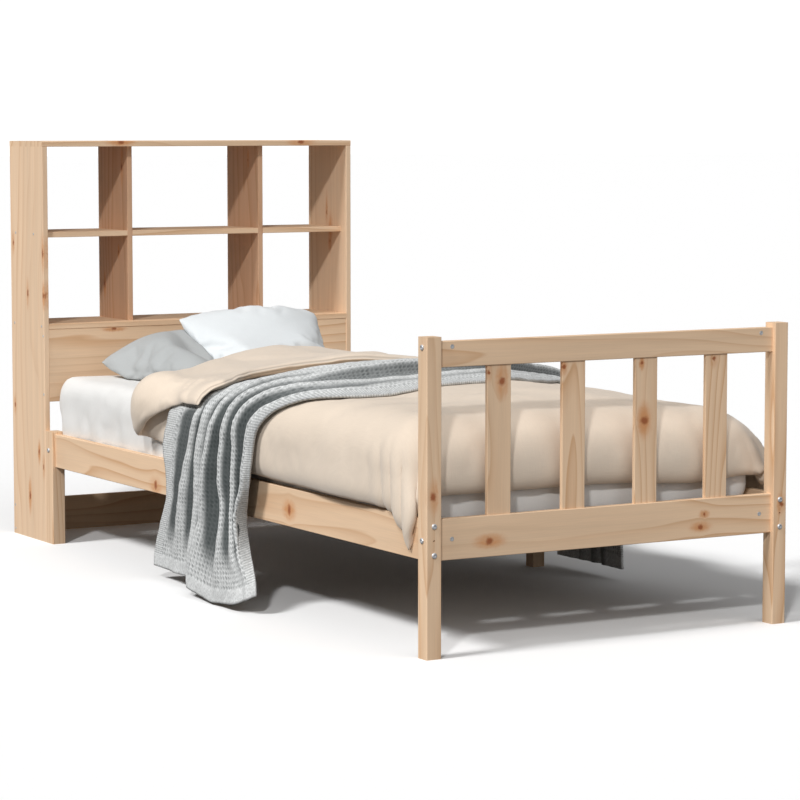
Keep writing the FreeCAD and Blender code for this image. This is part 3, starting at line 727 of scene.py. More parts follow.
class BED_OT_mattress(bpy.types.Operator):
    """Mattress in its fitted sheet"""

    bl_idname = "bed.mattress"
    bl_label = "Make the mattress"

    step = 0.016
    # Radii of the edges, and how far the sides swell, the head end leans out and the right foot corner gives
    edge = numpy.array([MATTRESS_EDGE, MATTRESS_EDGE, 0.045])
    swell, head_out, corner_in = 0.004, 0.022, 0.013
    # How far the sheet is pulled and drawn into creases on the sides, and creased on top
    pulled, drawn, creased = 0.0065, 0.007, 0.0035

    def execute(self, context):
        weave_group()
        low, high = Vector(MATTRESS_LOW), Vector(MATTRESS_HIGH)
        middle, half = (low + high) / 2.0, (high - low) / 2.0
        block, faces = self.block(half)
        core = numpy.array(half) - self.edge
        inner = numpy.clip(block, -core, core)
        away = (block - inner) / self.edge
        length = numpy.maximum(numpy.linalg.norm(away, axis=1), 1e-9)
        around = numpy.where(length[:, None] > 1e-6, away / length[:, None], 0.0)
        shaped = inner + around * self.edge
        belly = numpy.abs(around[:, 0]) * (1.0 - (shaped[:, 2] / half[2]) ** 2) * self.swell
        shaped[:, 0] += numpy.sign(shaped[:, 0]) * belly
        upper_half = ease(-0.3, 0.1, shaped[:, 2] / half[2])
        shaped[:, 1] += self.head_out * ease(0.7, 1.0, shaped[:, 1] / half[1]) * upper_half
        shaped[:, 0] -= self.corner_in * ease(0.30, 0.45, shaped[:, 0]) * ease(-0.86, -0.98, shaped[:, 1])
        shaped = shaped + around * self.slack(shaped, around)[:, None] + numpy.array(middle)
        piece = new_piece("mattress_sheet", shaped, faces,
                          woven("sheet_cotton", chosen("sheet"), 0.05, 0.8, 0.1, 0.15))
        work = bmesh.new()
        work.from_mesh(piece.data)
        bmesh.ops.remove_doubles(work, verts=work.verts, dist=0.0008)
        bmesh.ops.recalc_face_normals(work, faces=work.faces)
        bmesh.ops.smooth_vert(work, verts=work.verts, factor=0.5, use_axis_x=True, use_axis_y=True,
                              use_axis_z=True)
        work.to_mesh(piece.data)
        work.free()
        piece.data.polygons.foreach_set("use_smooth", [True] * len(piece.data.polygons))
        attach(piece, BODY)
        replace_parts(piece, "mattress")
        return {"FINISHED"}

    def block(self, half):
        """Points and faces of a block's six sides, each a grid"""
        counts = [max(4, int(2.0 * h / self.step)) for h in half]
        points, faces = [], []
        for axis in range(3):
            a, b = (axis + 1) % 3, (axis + 2) % 3
            for sign in (-1.0, 1.0):
                start = len(points)
                for i in range(counts[a] + 1):
                    for j in range(counts[b] + 1):
                        p = [0.0, 0.0, 0.0]
                        p[axis] = sign * half[axis]
                        p[a] = half[a] * (2.0 * i / counts[a] - 1.0)
                        p[b] = half[b] * (2.0 * j / counts[b] - 1.0)
                        points.append(p)
                faces += grid_faces(counts[a] + 1, counts[b] + 1, start, sign > 0)
        return numpy.array(points), faces

    def slack(self, shaped, around):
        """How far the sheet stands off: leaning folds on the sides and soft creases on top"""
        upright = ease(0.5, 0.9, numpy.hypot(around[:, 0], around[:, 1]))
        leaning = shaped + numpy.outer(shaped[:, 2], (0.55, 0.35, 0.0))
        pull = cloud(leaning, (0.045, 0.055, 0.40), 3)
        crease = cloud(shaped, (0.11, 0.16, 0.09), 5)
        draw = ease(0.16, 0.0, numpy.abs(cloud(leaning, (0.09, 0.12, 0.30), 9)))
        return upright * (self.pulled * pull - self.drawn * draw) + self.creased * crease * (1.0 - upright)


def unit(rows):
    return rows / numpy.maximum(numpy.linalg.norm(rows, axis=-1, keepdims=True), 1e-9)


def grid_normal(grid):
    return unit(numpy.cross(numpy.gradient(grid, axis=1), numpy.gradient(grid, axis=0)))


def even_out(rows, rounds=1):
    """Smooths rows in place, keeping the first and the last"""
    for _ in range(rounds):
        rows[1:-1] = (rows[:-2] + 2.0 * rows[1:-1] + rows[2:]) / 4.0


def relax(grid, rounds):
    """Smooths a grid of points in place, its rim along itself, keeping the corners"""
    for _ in range(rounds):
        inner = (grid[:-2, 1:-1] + grid[2:, 1:-1] + grid[1:-1, :-2] + grid[1:-1, 2:]) / 4.0
        grid[1:-1, 1:-1] = mix(grid[1:-1, 1:-1], inner, 0.6)
        for line in (grid[0], grid[-1], grid[:, 0], grid[:, -1]):
            line[1:-1] = mix(line[1:-1], (line[:-2] + line[2:]) / 2.0, 0.6)
    return grid


def refine(grid, parts):
    """A finer grid through the same form, by cubic B-splines along both ways"""
    for axis in (0, 1):
        work = numpy.moveaxis(grid, axis, 0)
        work = numpy.concatenate([2 * work[:1] - work[1:2], work, 2 * work[-1:] - work[-2:-1]])
        fine = []
        for i in range(len(work) - 3):
            for k in range(parts):
                q = k / parts
                w = ((1 - q) ** 3, 3 * q ** 3 - 6 * q ** 2 + 4, -3 * q ** 3 + 3 * q ** 2 + 3 * q + 1, q ** 3)
                fine.append(sum(share * work[i + n] for n, share in enumerate(w)) / 6.0)
        fine.append((work[-3] + 4 * work[-2] + work[-1]) / 6.0)
        grid = numpy.moveaxis(numpy.array(fine), 0, axis)
    return grid


def clear_of_mattress(grid, normal, clear):
    """Moves points out along their normals until they are that far from the mattress's rounded box"""
    low, high = numpy.array(MATTRESS_LOW), numpy.array(MATTRESS_HIGH)
    middle, core = (low + high) / 2.0, (high - low) / 2.0 - MATTRESS_EDGE
    for _ in range(12):
        beyond = numpy.abs(grid - middle) - core
        outside = numpy.linalg.norm(numpy.maximum(beyond, 0.0), axis=-1)
        away = outside + numpy.minimum(beyond.max(axis=-1), 0.0) - MATTRESS_EDGE
        grid = grid + normal * numpy.maximum(clear - away, 0.0)[..., None]
    return grid


class DuvetForm:
    """The duvet's outer form: a crowned top, a rounded shoulder round three sides and a drop below"""

    tip = math.radians(8.5)
    turn = math.pi / 2.0 - tip
    crown, foot_gap, fold_back = 0.028, 0.002, 0.028
    full_corner, low_right = 0.044, 0.013
    # By the place across: where the fold at the head end and the flap's hem lie along the bed, and how far
    # the layer on the bed sinks at the head end
    crest_y = ((-0.66, -0.55, -0.46, -0.40, -0.33, -0.15, 0.05, 0.18, 0.32, 0.45, 0.66),
               (0.285, 0.262, 0.240, 0.262, 0.308, 0.428, 0.528, 0.560, 0.608, 0.650, 0.690))
    hem_y = ((-0.66, -0.55, -0.515, -0.46, -0.405, -0.34, -0.28, -0.10, 0.66),
             (-0.065, -0.065, -0.060, -0.090, -0.068, -0.018, 0.020, 0.035, 0.040))
    sink = ((-0.66, -0.50, -0.42, -0.33, -0.15, 0.05, 0.18, 0.32, 0.45, 0.66),
            (0.018, 0.030, 0.038, 0.039, 0.038, 0.030, 0.026, 0.044, 0.044, 0.040))

    def __init__(self, sizes):
        self.left, self.right, self.front = sizes.left_shoulder, sizes.right_shoulder, sizes.foot_shoulder
        part = 1.0 - math.sin(self.tip)
        self.x_left = sizes.duvet_half - self.left * part
        self.x_right = sizes.duvet_half - self.right * part
        self.foot = POST_BACK + self.foot_gap + self.front * part
        self.edge_z = sizes.duvet_edge
        self.crown_run = 2.0 * self.crown / math.tan(self.tip)

    def drop(self, shoulder, hem):
        """Flat length from the edge of the top to a hem at a height"""
        side = self.edge_z - shoulder * math.cos(self.tip)
        return shoulder * self.turn + side - hem

    def at(self, across, along):
        """Points for flat places across from the middle and along from the foot's edge of the top"""
        right = across > 0
        shoulder = numpy.where(right, self.right, self.left)
        edge = numpy.where(right, self.x_right, self.x_left)
        on_top = numpy.minimum(numpy.abs(across), edge)
        bend_x, bend_y = shoulder * self.turn, self.front * self.turn
        over = numpy.maximum(numpy.abs(across) - edge, 0.0) / bend_x
        down = numpy.maximum(-along, 0.0) / bend_y
        reach = numpy.hypot(over, down)
        safe = numpy.maximum(reach, 1e-9)
        cx, cy = over / safe, down / safe
        angle = self.tip + numpy.minimum(reach, 1.0) * self.turn
        hang = numpy.maximum(reach - 1.0, 0.0) * numpy.hypot(bend_x * cx, bend_y * cy)
        shorter = numpy.where(right, 0.95 * ease(0.25, 0.80, cy), 0.10)
        hang = hang * (1.0 - shorter * 2.0 * cx * cy)
        power = 2.0 + 4.0 * ease(0.0, 0.10, hang)
        curve = numpy.maximum(cx ** power + cy ** power, 1e-9)
        square = numpy.where(reach > 0, curve ** (-1.0 / power), 1.0)
        swing = (numpy.sin(angle) - math.sin(self.tip)) * square
        fall = numpy.hypot(shoulder * cx, self.front * cy) * (math.cos(self.tip) - numpy.cos(angle))
        level = 1.0 - (on_top / edge) ** 2
        run = 1.0 - numpy.clip(1.0 - along / self.crown_run, 0.0, 1.0) ** 2
        x = numpy.sign(across) * (on_top + shoulder * swing * cx)
        y = self.foot + numpy.maximum(along, 0.0) - self.front * swing * cy
        z = self.edge_z + self.crown * level * run - fall - hang
        # The right foot corner is full, and the right half of the top lies lower near the foot
        x = x + self.full_corner * right * numpy.minimum(over, 1.0) * ease(0.42, 0.12, along)
        z = z - self.low_right * ease(0.0, 0.28, across) * ease(1.35, 0.60, along) * ease(1.0, 0.2, over)
        return numpy.stack([x, y, z], axis=-1)

    def normal(self, across, along, step=0.006):
        side = self.at(across + step, along) - self.at(across - step, along)
        fore = self.at(across, along + step) - self.at(across, along - step)
        return unit(numpy.cross(side, fore))

    def crest(self, across):
        """Where the fold at the head end lies, along from the foot's edge of the top"""
        return numpy.interp(across, *self.crest_y) - self.foot - self.fold_back

    def flap_hem(self, across):
        """Where the flap's hem lies, along from the foot's edge of the top"""
        return numpy.interp(across, *self.hem_y) - self.foot

    def head_share(self, across, along):
        """0 over most of the bed, 1 where the duvet thins towards its head end"""
        return ease(0.0, 0.42, along - (self.crest(across) - 0.62))

    def trunk(self, across, along):
        """Outer points of the layer that lies on the bed, and the way out of it"""
        sink = numpy.interp(across, *self.sink) * self.head_share(across, along)
        normal = self.normal(across, along)
        return self.at(across, along) - normal * sink[..., None], normal


class DuvetCover:
    """The duvet's cover on its form: a layer on the bed, a fold at the head end and a flap turned back"""

    # Heights of the hems that the flat drops are cut for
    left_hem, right_hem, foot_hem = 0.319, 0.322, 0.343
    # Heights that they hang to: the sides by the place along the bed, and the flap by its reach
    left_hems = ((-1.08, -1.0, -0.90, -0.42, 0.14, 0.30), (0.285, 0.302, 0.312, 0.314, 0.336, 0.350))
    right_hems = ((-1.10, -1.07, -1.02, -0.85, 0.0, 0.3), (0.325, 0.290, 0.256, 0.285, 0.318, 0.350))
    flap_hems = ((0.0, 0.39, 0.61, 0.83, 1.0), (0.458, 0.456, 0.430, 0.400, 0.356))
    far_flap = 0.05
    top_length, flap_length, fold, turns = 1.50, 0.42, 0.016, 10
    # Share of the flap's length with even rows, and shares where the close rows at its hem lie
    flap_rows, hem_rows = 0.93, (0.945, 0.955, 0.963, 0.969, 0.975, 0.983, 0.992, 1.0)
    head_thick, right_thick, side_thin = 0.024, 0.016, 0.72
    # Ways over which the sides thin, the fold bulges and the rim closes
    side_reach, fold_reach, rim_reach = 0.12, 0.05, 0.045
    # Half thickness at the rim, width of the flap's flat hem, and place and width of the painted shade along
    # its stitched seam
    rim_thick, hem_flat, seam_in, seam_wide = 0.002, 0.012, 0.0125, 0.0022
    # Share of lift lost on the right, lifts of the flap's hem, and a ridge near the fold's left end
    lift_lost, right_lift, left_lift = 0.45, 0.004, 0.010
    ridge_high, ridge_x, ridge_wide = 0.036, -0.50, 0.07
    # Gaps to the mattress below the layer on the bed and below the flap, and the fold's added fill
    bed_gap, flap_gap, fold_fill = 0.005, 0.009, 0.006
    # Heights of the wrinkles, and the pitch of the gathers
    puff_high, crease_high, pinch_deep, wave_high = 0.006, 0.0028, 0.0055, 0.005
    gather_high, gather_pitch = 0.0085, 0.048

    def __init__(self, sizes):
        self.form = form = DuvetForm(sizes)
        self.step = sizes.duvet_mesh
        self.full_thick = sizes.duvet_thick
        left_drop = form.drop(form.left, self.left_hem)
        right_drop = form.drop(form.right, self.right_hem)
        foot_drop = form.drop(form.front, self.foot_hem)
        width = form.x_left + left_drop + form.x_right + right_drop
        s = numpy.linspace(-form.x_left - left_drop, form.x_right + right_drop, int(width / self.step))
        crest, hem = form.crest(s), form.flap_hem(s)
        self.along, self.lift, self.back, self.bulge = self.rows(crest, hem, foot_drop)
        self.reach = numpy.clip((self.along - hem) / (crest - hem), 0.0, 1.0)
        self.y = self.along + form.foot
        across = numpy.tile(s, (len(self.along), 1))
        right = across > 0
        edge = numpy.where(right, form.x_right, form.x_left)
        over = numpy.maximum(numpy.abs(across) - edge, 0.0)
        drop = numpy.where(right, right_drop, left_drop)
        left_z, right_z = numpy.interp(self.y, *self.left_hems), numpy.interp(self.y, *self.right_hems)
        trunk_drop = drop - (numpy.where(right, right_z, left_z) - self.left_hem)
        flap_z = numpy.interp(self.reach, *self.flap_hems)
        flap_drop = drop - (flap_z - self.left_hem) + numpy.where(right, self.far_flap, 0.0)
        self.over = over * mix(trunk_drop, flap_drop, self.back) / drop
        self.across = numpy.sign(across) * (numpy.minimum(numpy.abs(across), edge) + self.over)
        self.side_on = numpy.clip(self.over / self.side_reach, 0.0, 1.0)

    def rows(self, crest, hem, foot_drop):
        """Where each row lies along the bed, how far it is lifted and turned back, and how much it bulges"""
        trunk = int((self.top_length + foot_drop) / self.step)
        flap = int(self.flap_length / self.step)
        rows = []
        for i in range(trunk):
            away = (trunk - 1 - i) * self.step
            rows.append((mix(-foot_drop, crest, i / (trunk - 1)), 0.0, 0.0, self.near_fold(away)))
        for i in range(1, self.turns + 1):
            back = i / (self.turns + 1)
            turn = math.pi * i / (self.turns + 1)
            out, lift = 1.5 * self.fold * math.sin(turn), self.fold * (1.0 - math.cos(turn))
            rows.append((crest + out, lift, back, 1.0))
        for share in [self.flap_rows * i / (flap - 1) for i in range(flap)] + list(self.hem_rows):
            bulge = self.near_fold(share * self.flap_length)
            rows.append((mix(crest, hem, share), 2.0 * self.fold, 1.0, bulge))
        along, *others = zip(*rows)
        return (numpy.array(along), *(numpy.array(values)[:, None] for values in others))

    def near_fold(self, away):
        return math.exp(-(away / self.fold_reach) ** 2)

    def thickness(self):
        """Filled thickness, thinner at the head end, most of all on its right, and down the sides"""
        head = self.form.head_share(self.across, self.along)
        thick = mix(self.full_thick, self.head_thick, head)
        thick = mix(thick, self.right_thick, self.flatter() * head)
        return mix(thick, thick * self.side_thin, self.side_on)

    def flatter(self):
        """1 on the right half, up to near the fold at the head end"""
        return ease(-0.02, 0.18, self.across) * ease(0.60, 0.46, self.y)

    def middle(self, thick):
        """Middle of the filled cover, lifted where it is turned back and clear of the mattress"""
        across, reach, back = self.across, self.reach, self.back
        lift = self.lift * (1.0 - self.lift_lost * self.flatter())
        lift = lift + self.right_lift * back * ease(0.30, 0.0, reach) * ease(0.0, 0.15, across)
        raised = self.left_lift * back * ease(0.40, 0.05, reach) * ease(-0.05, -0.28, across)
        near_ridge = numpy.exp(-((across - self.ridge_x) / self.ridge_wide) ** 2)
        ridge = self.ridge_high * near_ridge * ease(0.55, 1.0, reach)
        raised = raised + ridge * numpy.maximum(back, self.bulge)
        outer, normal = self.form.trunk(across, self.along)
        line = outer + normal * (lift - thick / 2.0 + raised)[..., None]
        head_right = ease(0.0, 0.15, across) * ease(0.06, 0.20, self.y)
        clear = mix(thick / 2.0 + self.bed_gap, 1.5 * thick + self.flap_gap, back)
        pushed = clear_of_mattress(line, normal, clear)
        return relax(mix(line, pushed, head_right[..., None]), 4)

    def wrinkles(self, line):
        """How far the cover stands out from its middle: puffs, creases, pinches, a wave and gathers"""
        across, along, over, reach, back = self.across, self.along, self.over, self.reach, self.back
        tilt = numpy.array([[0.8, 0.6, 0.0], [-0.6, 0.8, 0.0], [0.0, 0.0, 1.0]])
        flat = line.reshape(-1, 3)
        puff = cloud(flat, (0.17, 0.26, 0.17), 1).reshape(over.shape) * self.puff_high
        crease = cloud(flat @ tilt, (0.34, 0.08, 0.2), 2).reshape(over.shape) * self.crease_high
        sharp = numpy.abs(cloud(flat @ tilt.T, (0.20, 0.055, 0.09), 8).reshape(over.shape))
        fold_zone = back * ease(-0.30, -0.46, across) * ease(1.0, 0.75, reach) + 0.35
        pinch = -self.pinch_deep * ease(0.16, 0.0, sharp) * fold_zone
        down = numpy.maximum(-along, 0.0)
        low = ease(0.05, 0.24, numpy.hypot(over, down))
        spot = numpy.where((down > 0) & (over > 0), -0.12 * numpy.arctan2(down, over + 1e-9), along)
        ends = ease(-0.17, -0.03, spot) * ease(0.11, 0.0, spot) * (over > 0)
        gather = numpy.sin(2.0 * math.pi * spot / self.gather_pitch + 1.0)
        gather = gather * self.gather_high * ends * low
        under_flap = ease(0.0, 0.15, across) * ease(-0.06, 0.02, self.y)
        y = line[..., 1]
        wave = numpy.sin(y * 15.0 + 1.3 * numpy.sin(y * 5.0)) * self.wave_high
        wave = wave * self.side_on * low * (1.0 - under_flap)
        return puff + crease + pinch + (wave + gather) * (1.0 - back)

    def filled(self):
        """Upper and lower points, and where the painted shade of the stitched seam along the flap's hem lies
        """
        thick = self.thickness()
        line = self.middle(thick)
        line = line + grid_normal(line) * self.wrinkles(line)[..., None]
        way_s = numpy.arange(line.shape[1]) * self.step
        gaps = numpy.linalg.norm(numpy.diff(line, axis=0), axis=-1).mean(axis=1)
        way_t = numpy.concatenate([[0.0], numpy.cumsum(gaps)])
        left = way_t[-1] - way_t
        rim_s = numpy.minimum(way_s, way_s[::-1])[None, :]
        rim_t = numpy.minimum(way_t, numpy.maximum(left - self.hem_flat, 0.0))[:, None]
        inward = numpy.clip(numpy.minimum(rim_s, rim_t) / self.rim_reach, 0.0, 1.0)
        full = numpy.sqrt(1.0 - (1.0 - inward) ** 2)
        half = self.rim_thick + (thick / 2.0 + self.fold_fill * self.bulge - self.rim_thick) * full
        # Painted shade along the stitched seam, near the flap's hem
        seam = numpy.exp(-((left - self.seam_in) / self.seam_wide) ** 2)[:, None] * numpy.ones_like(full)
        out = grid_normal(line) * half[..., None]
        return line + out, line - out, seam


class BED_OT_duvet(bpy.types.Operator):
    """Duvet with its head end turned back"""

    bl_idname = "bed.duvet"
    bl_label = "Make the duvet"

    def execute(self, context):
        upper, lower, seam = DuvetCover(context.scene.bed_sizes).filled()
        piece = new_piece("duvet_quilt", *quilt(upper, lower),
                          woven("duvet_linen", chosen("linen"), 0.10, 0.85, 0.30, seam="seam"))
        mark(piece, "seam", seam)
        outward(piece)
        soften(piece)
        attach(piece, BODY)
        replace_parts(piece, "duvet")
        return {"FINISHED"}


def cloth_run(piece, frames, settings):
    """Runs a cloth simulation without gravity or collisions and returns the piece's points at its end"""
    cloth = piece.modifiers.new("cloth", "CLOTH")
    cloth.settings.effector_weights.gravity = 0.0
    for key, value in settings.items():
        setattr(cloth.settings, key, value)
    cloth.collision_settings.use_collision = False
    cloth.point_cache.frame_start = 1
    cloth.point_cache.frame_end = frames
    scene = bpy.context.scene
    for number in range(1, frames + 1):
        scene.frame_set(number)
    graph = bpy.context.evaluated_depsgraph_get()
    made = piece.evaluated_get(graph).to_mesh()
    values = numpy.empty(len(made.vertices) * 3)
    made.vertices.foreach_get("co", values)
    piece.evaluated_get(graph).to_mesh_clear()
    piece.modifiers.remove(cloth)
    scene.frame_set(1)
    return values.reshape(-1, 3)


def straighten(grid, rounds):
    """Evens out the four edges of a grid of points, carrying the rows inside them along"""
    for side in (grid, grid[::-1], grid.transpose(1, 0, 2), grid.transpose(1, 0, 2)[::-1]):
        line = side[0].copy()
        even_out(line, rounds)
        move = line - side[0]
        for row, share in enumerate((1.0, 0.85, 0.6, 0.35, 0.15)):
            side[row] += share * move


def pillow_case(width, length, height, step, seed, bow):
    """Points and faces of a sewn case, blown up by simulation"""
    # Bow of the ends, half thickness at the rim and more in the middle, crumple, and frames of simulation
    end_bow, rim_half, middle_half, crumple, frames = 0.06, 0.001, 0.030, 0.002, 22
    columns, rows = int(width / step) | 1, int(length / step) | 1
    u, v = numpy.meshgrid(numpy.linspace(-1, 1, columns), numpy.linspace(-1, 1, rows))
    rise = ((1.0 - u ** 4) * (1.0 - v ** 4)) ** 0.6
    bow_u, bow_v = 1.0 + end_bow * (1.0 - v ** 2), 1.0 + bow * (1.0 - u ** 2)
    flat = numpy.stack([u * bow_u * width / 2.0, v * bow_v * length / 2.0, 0.0 * u], axis=-1)
    swell = numpy.stack([0 * u, 0 * u, rim_half + middle_half * rise], axis=-1)
    upper, lower = flat + swell, flat - swell
    stir = cloud(flat.reshape(-1, 3), 0.05, seed).reshape(rows, columns) * crumple * rise
    upper[..., 2] += stir
    lower[..., 2] += stir
    points, faces = quilt(upper, lower)
    case = new_piece("case_work", points, faces)
    outward(case)
    points = cloth_run(case, frames, {
        "quality": 6, "mass": 0.2, "use_pressure": True, "uniform_pressure_force": 3.2,
        "tension_stiffness": 25.0, "compression_stiffness": 25.0, "shear_stiffness": 8.0,
        "bending_stiffness": 0.08, "air_damping": 2.0, "shrink_min": -0.03})
    bpy.data.objects.remove(case)
    points = points - points.mean(axis=0)
    points[:, 2] *= height / (points[:, 2].max() - points[:, 2].min())
    for half in numpy.split(points, 2):
        straighten(half.reshape(rows, columns, 3), 30)
    return points, faces


def curl(points, length, start, end):
    """Bends a flat form along Y, from one slope in degrees to another"""
    v = numpy.linspace(-0.65 * length, 0.65 * length, 80)
    slope = numpy.radians(mix(start, end, ease(-0.5 * length, 0.5 * length, v)))
    step = v[1] - v[0]
    y, z = numpy.cumsum(numpy.cos(slope)) * step, numpy.cumsum(numpy.sin(slope)) * step
    bent = points.copy()
    here = numpy.interp(points[:, 1], v, slope)
    bent[:, 1] = numpy.interp(points[:, 1], v, y) - numpy.sin(here) * points[:, 2]
    bent[:, 2] = numpy.interp(points[:, 1], v, z) + numpy.cos(here) * points[:, 2]
    back = numpy.array([0.0, numpy.interp(length / 2.0, v, y), numpy.interp(length / 2.0, v, z)])
    return bent - back


def fit_between(points, below, above, gap):
    """Moves points out of the pieces that lie below them and above them"""
    graph = bpy.context.evaluated_depsgraph_get()
    for bases, start, way in ((above, -1.0, UP), (below, 2.0, DOWN)):
        for base in bases:
            solid = base.evaluated_get(graph)
            for point in points:
                found, place, _, _ = solid.ray_cast(Vector((point[0], point[1], start)), Vector(way))
                limit = place.z - way[2] * gap
                if found and (point[2] - limit) * way[2] > 0:
                    point[2] = limit
    return points


class BED_OT_pillows(bpy.types.Operator):
    """Grey pillow laid flat and pale pillow leaning on it"""

    bl_idname = "bed.pillows"
    bl_label = "Make the pillows"

    mesh_step, gap = 0.011, 0.002
    # Width, length and height
    pale_size, grey_size = (0.45, 0.43, 0.135), (0.48, 0.45, 0.20)
    # Height of what lies on the grey pillow by the place along the bed, and how far its left edge sags
    load_z = ((0.45, 0.57, 0.75), (0.485, 0.495, 0.60))
    load_side, load_slope, load_soft, load_gap = -0.18, 0.9, 0.018, 0.01
    edge_sag, edge_out = ((0.5, 0.72, 0.80, 0.86), (0.03, 0.03, 0.018, 0.008)), 0.012

    def execute(self, context):
        mattress, duvet = bpy.data.objects["mattress_sheet"], bpy.data.objects["duvet_quilt"]
        points, faces = self.case("pale", self.pale_size, 0.24, 0.75)
        points = self.laid(curl(points, self.pale_size[1], 0.0, 46.0), (0.062, 0.760, 0.622), 0.0)
        pale = self.dressed("pale", fit_between(points, [mattress], [duvet], self.gap), faces, 0.6)
        points, faces = self.case("grey", self.grey_size, 0.11, 0.80)
        corner = 0.7 * points[:, 0] - 0.7 * points[:, 1]
        points[:, 2] *= numpy.where(points[:, 2] > 0, mix(1.0, 0.42, ease(-0.02, 0.20, corner)), 1.0)
        points = self.laid(curl(points, self.grey_size[1], 0.0, 3.0), (-0.115, 0.84, 0.512), 4.0)
        self.press(points)
        self.dressed("grey", fit_between(points, [mattress], [duvet, pale], self.gap), faces, 0.55)
        return {"FINISHED"}

    def case(self, key, size, bow, under):
        """A case with the bow of its long edges, and its underside pressed to a share of its depth"""
        points, faces = pillow_case(*size, self.mesh_step, len(key) + size[0], bow)
        points[:, 2] = numpy.where(points[:, 2] < 0, points[:, 2] * under, points[:, 2])
        return points, faces

    def laid(self, points, back, turn):
        """Moves the middle of the back edge to its place and turns the case in degrees"""
        move = Matrix.Translation(back) @ Matrix.Rotation(math.radians(turn), 4, "Z")
        return numpy.array([move @ Vector(p) for p in points])

    def press(self, points):
        """Presses the grey pillow under the pale one, and lets its left edge sag"""
        x, y, z = points.T
        top = numpy.interp(y, *self.load_z) + self.load_slope * numpy.maximum(self.load_side - x, 0.0)
        soft = self.load_soft
        z[:] = -soft * numpy.log(numpy.exp(-z / soft) + numpy.exp(-(top + self.load_gap) / soft))
        side_edge = ease(-0.24, -0.36, x)
        z -= side_edge * numpy.interp(y, *self.edge_sag)
        x -= self.edge_out * side_edge

    def dressed(self, key, points, faces, fill):
        name = "pillow_" + key
        piece = new_piece(name + "_case", points, faces,
                          woven(name + "_cotton", chosen(key + "_case"), 0.06, 0.8, 0.1, 0.18))
        outward(piece)
        soften(piece)
        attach(piece, BODY)
        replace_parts(piece, name)
        return piece


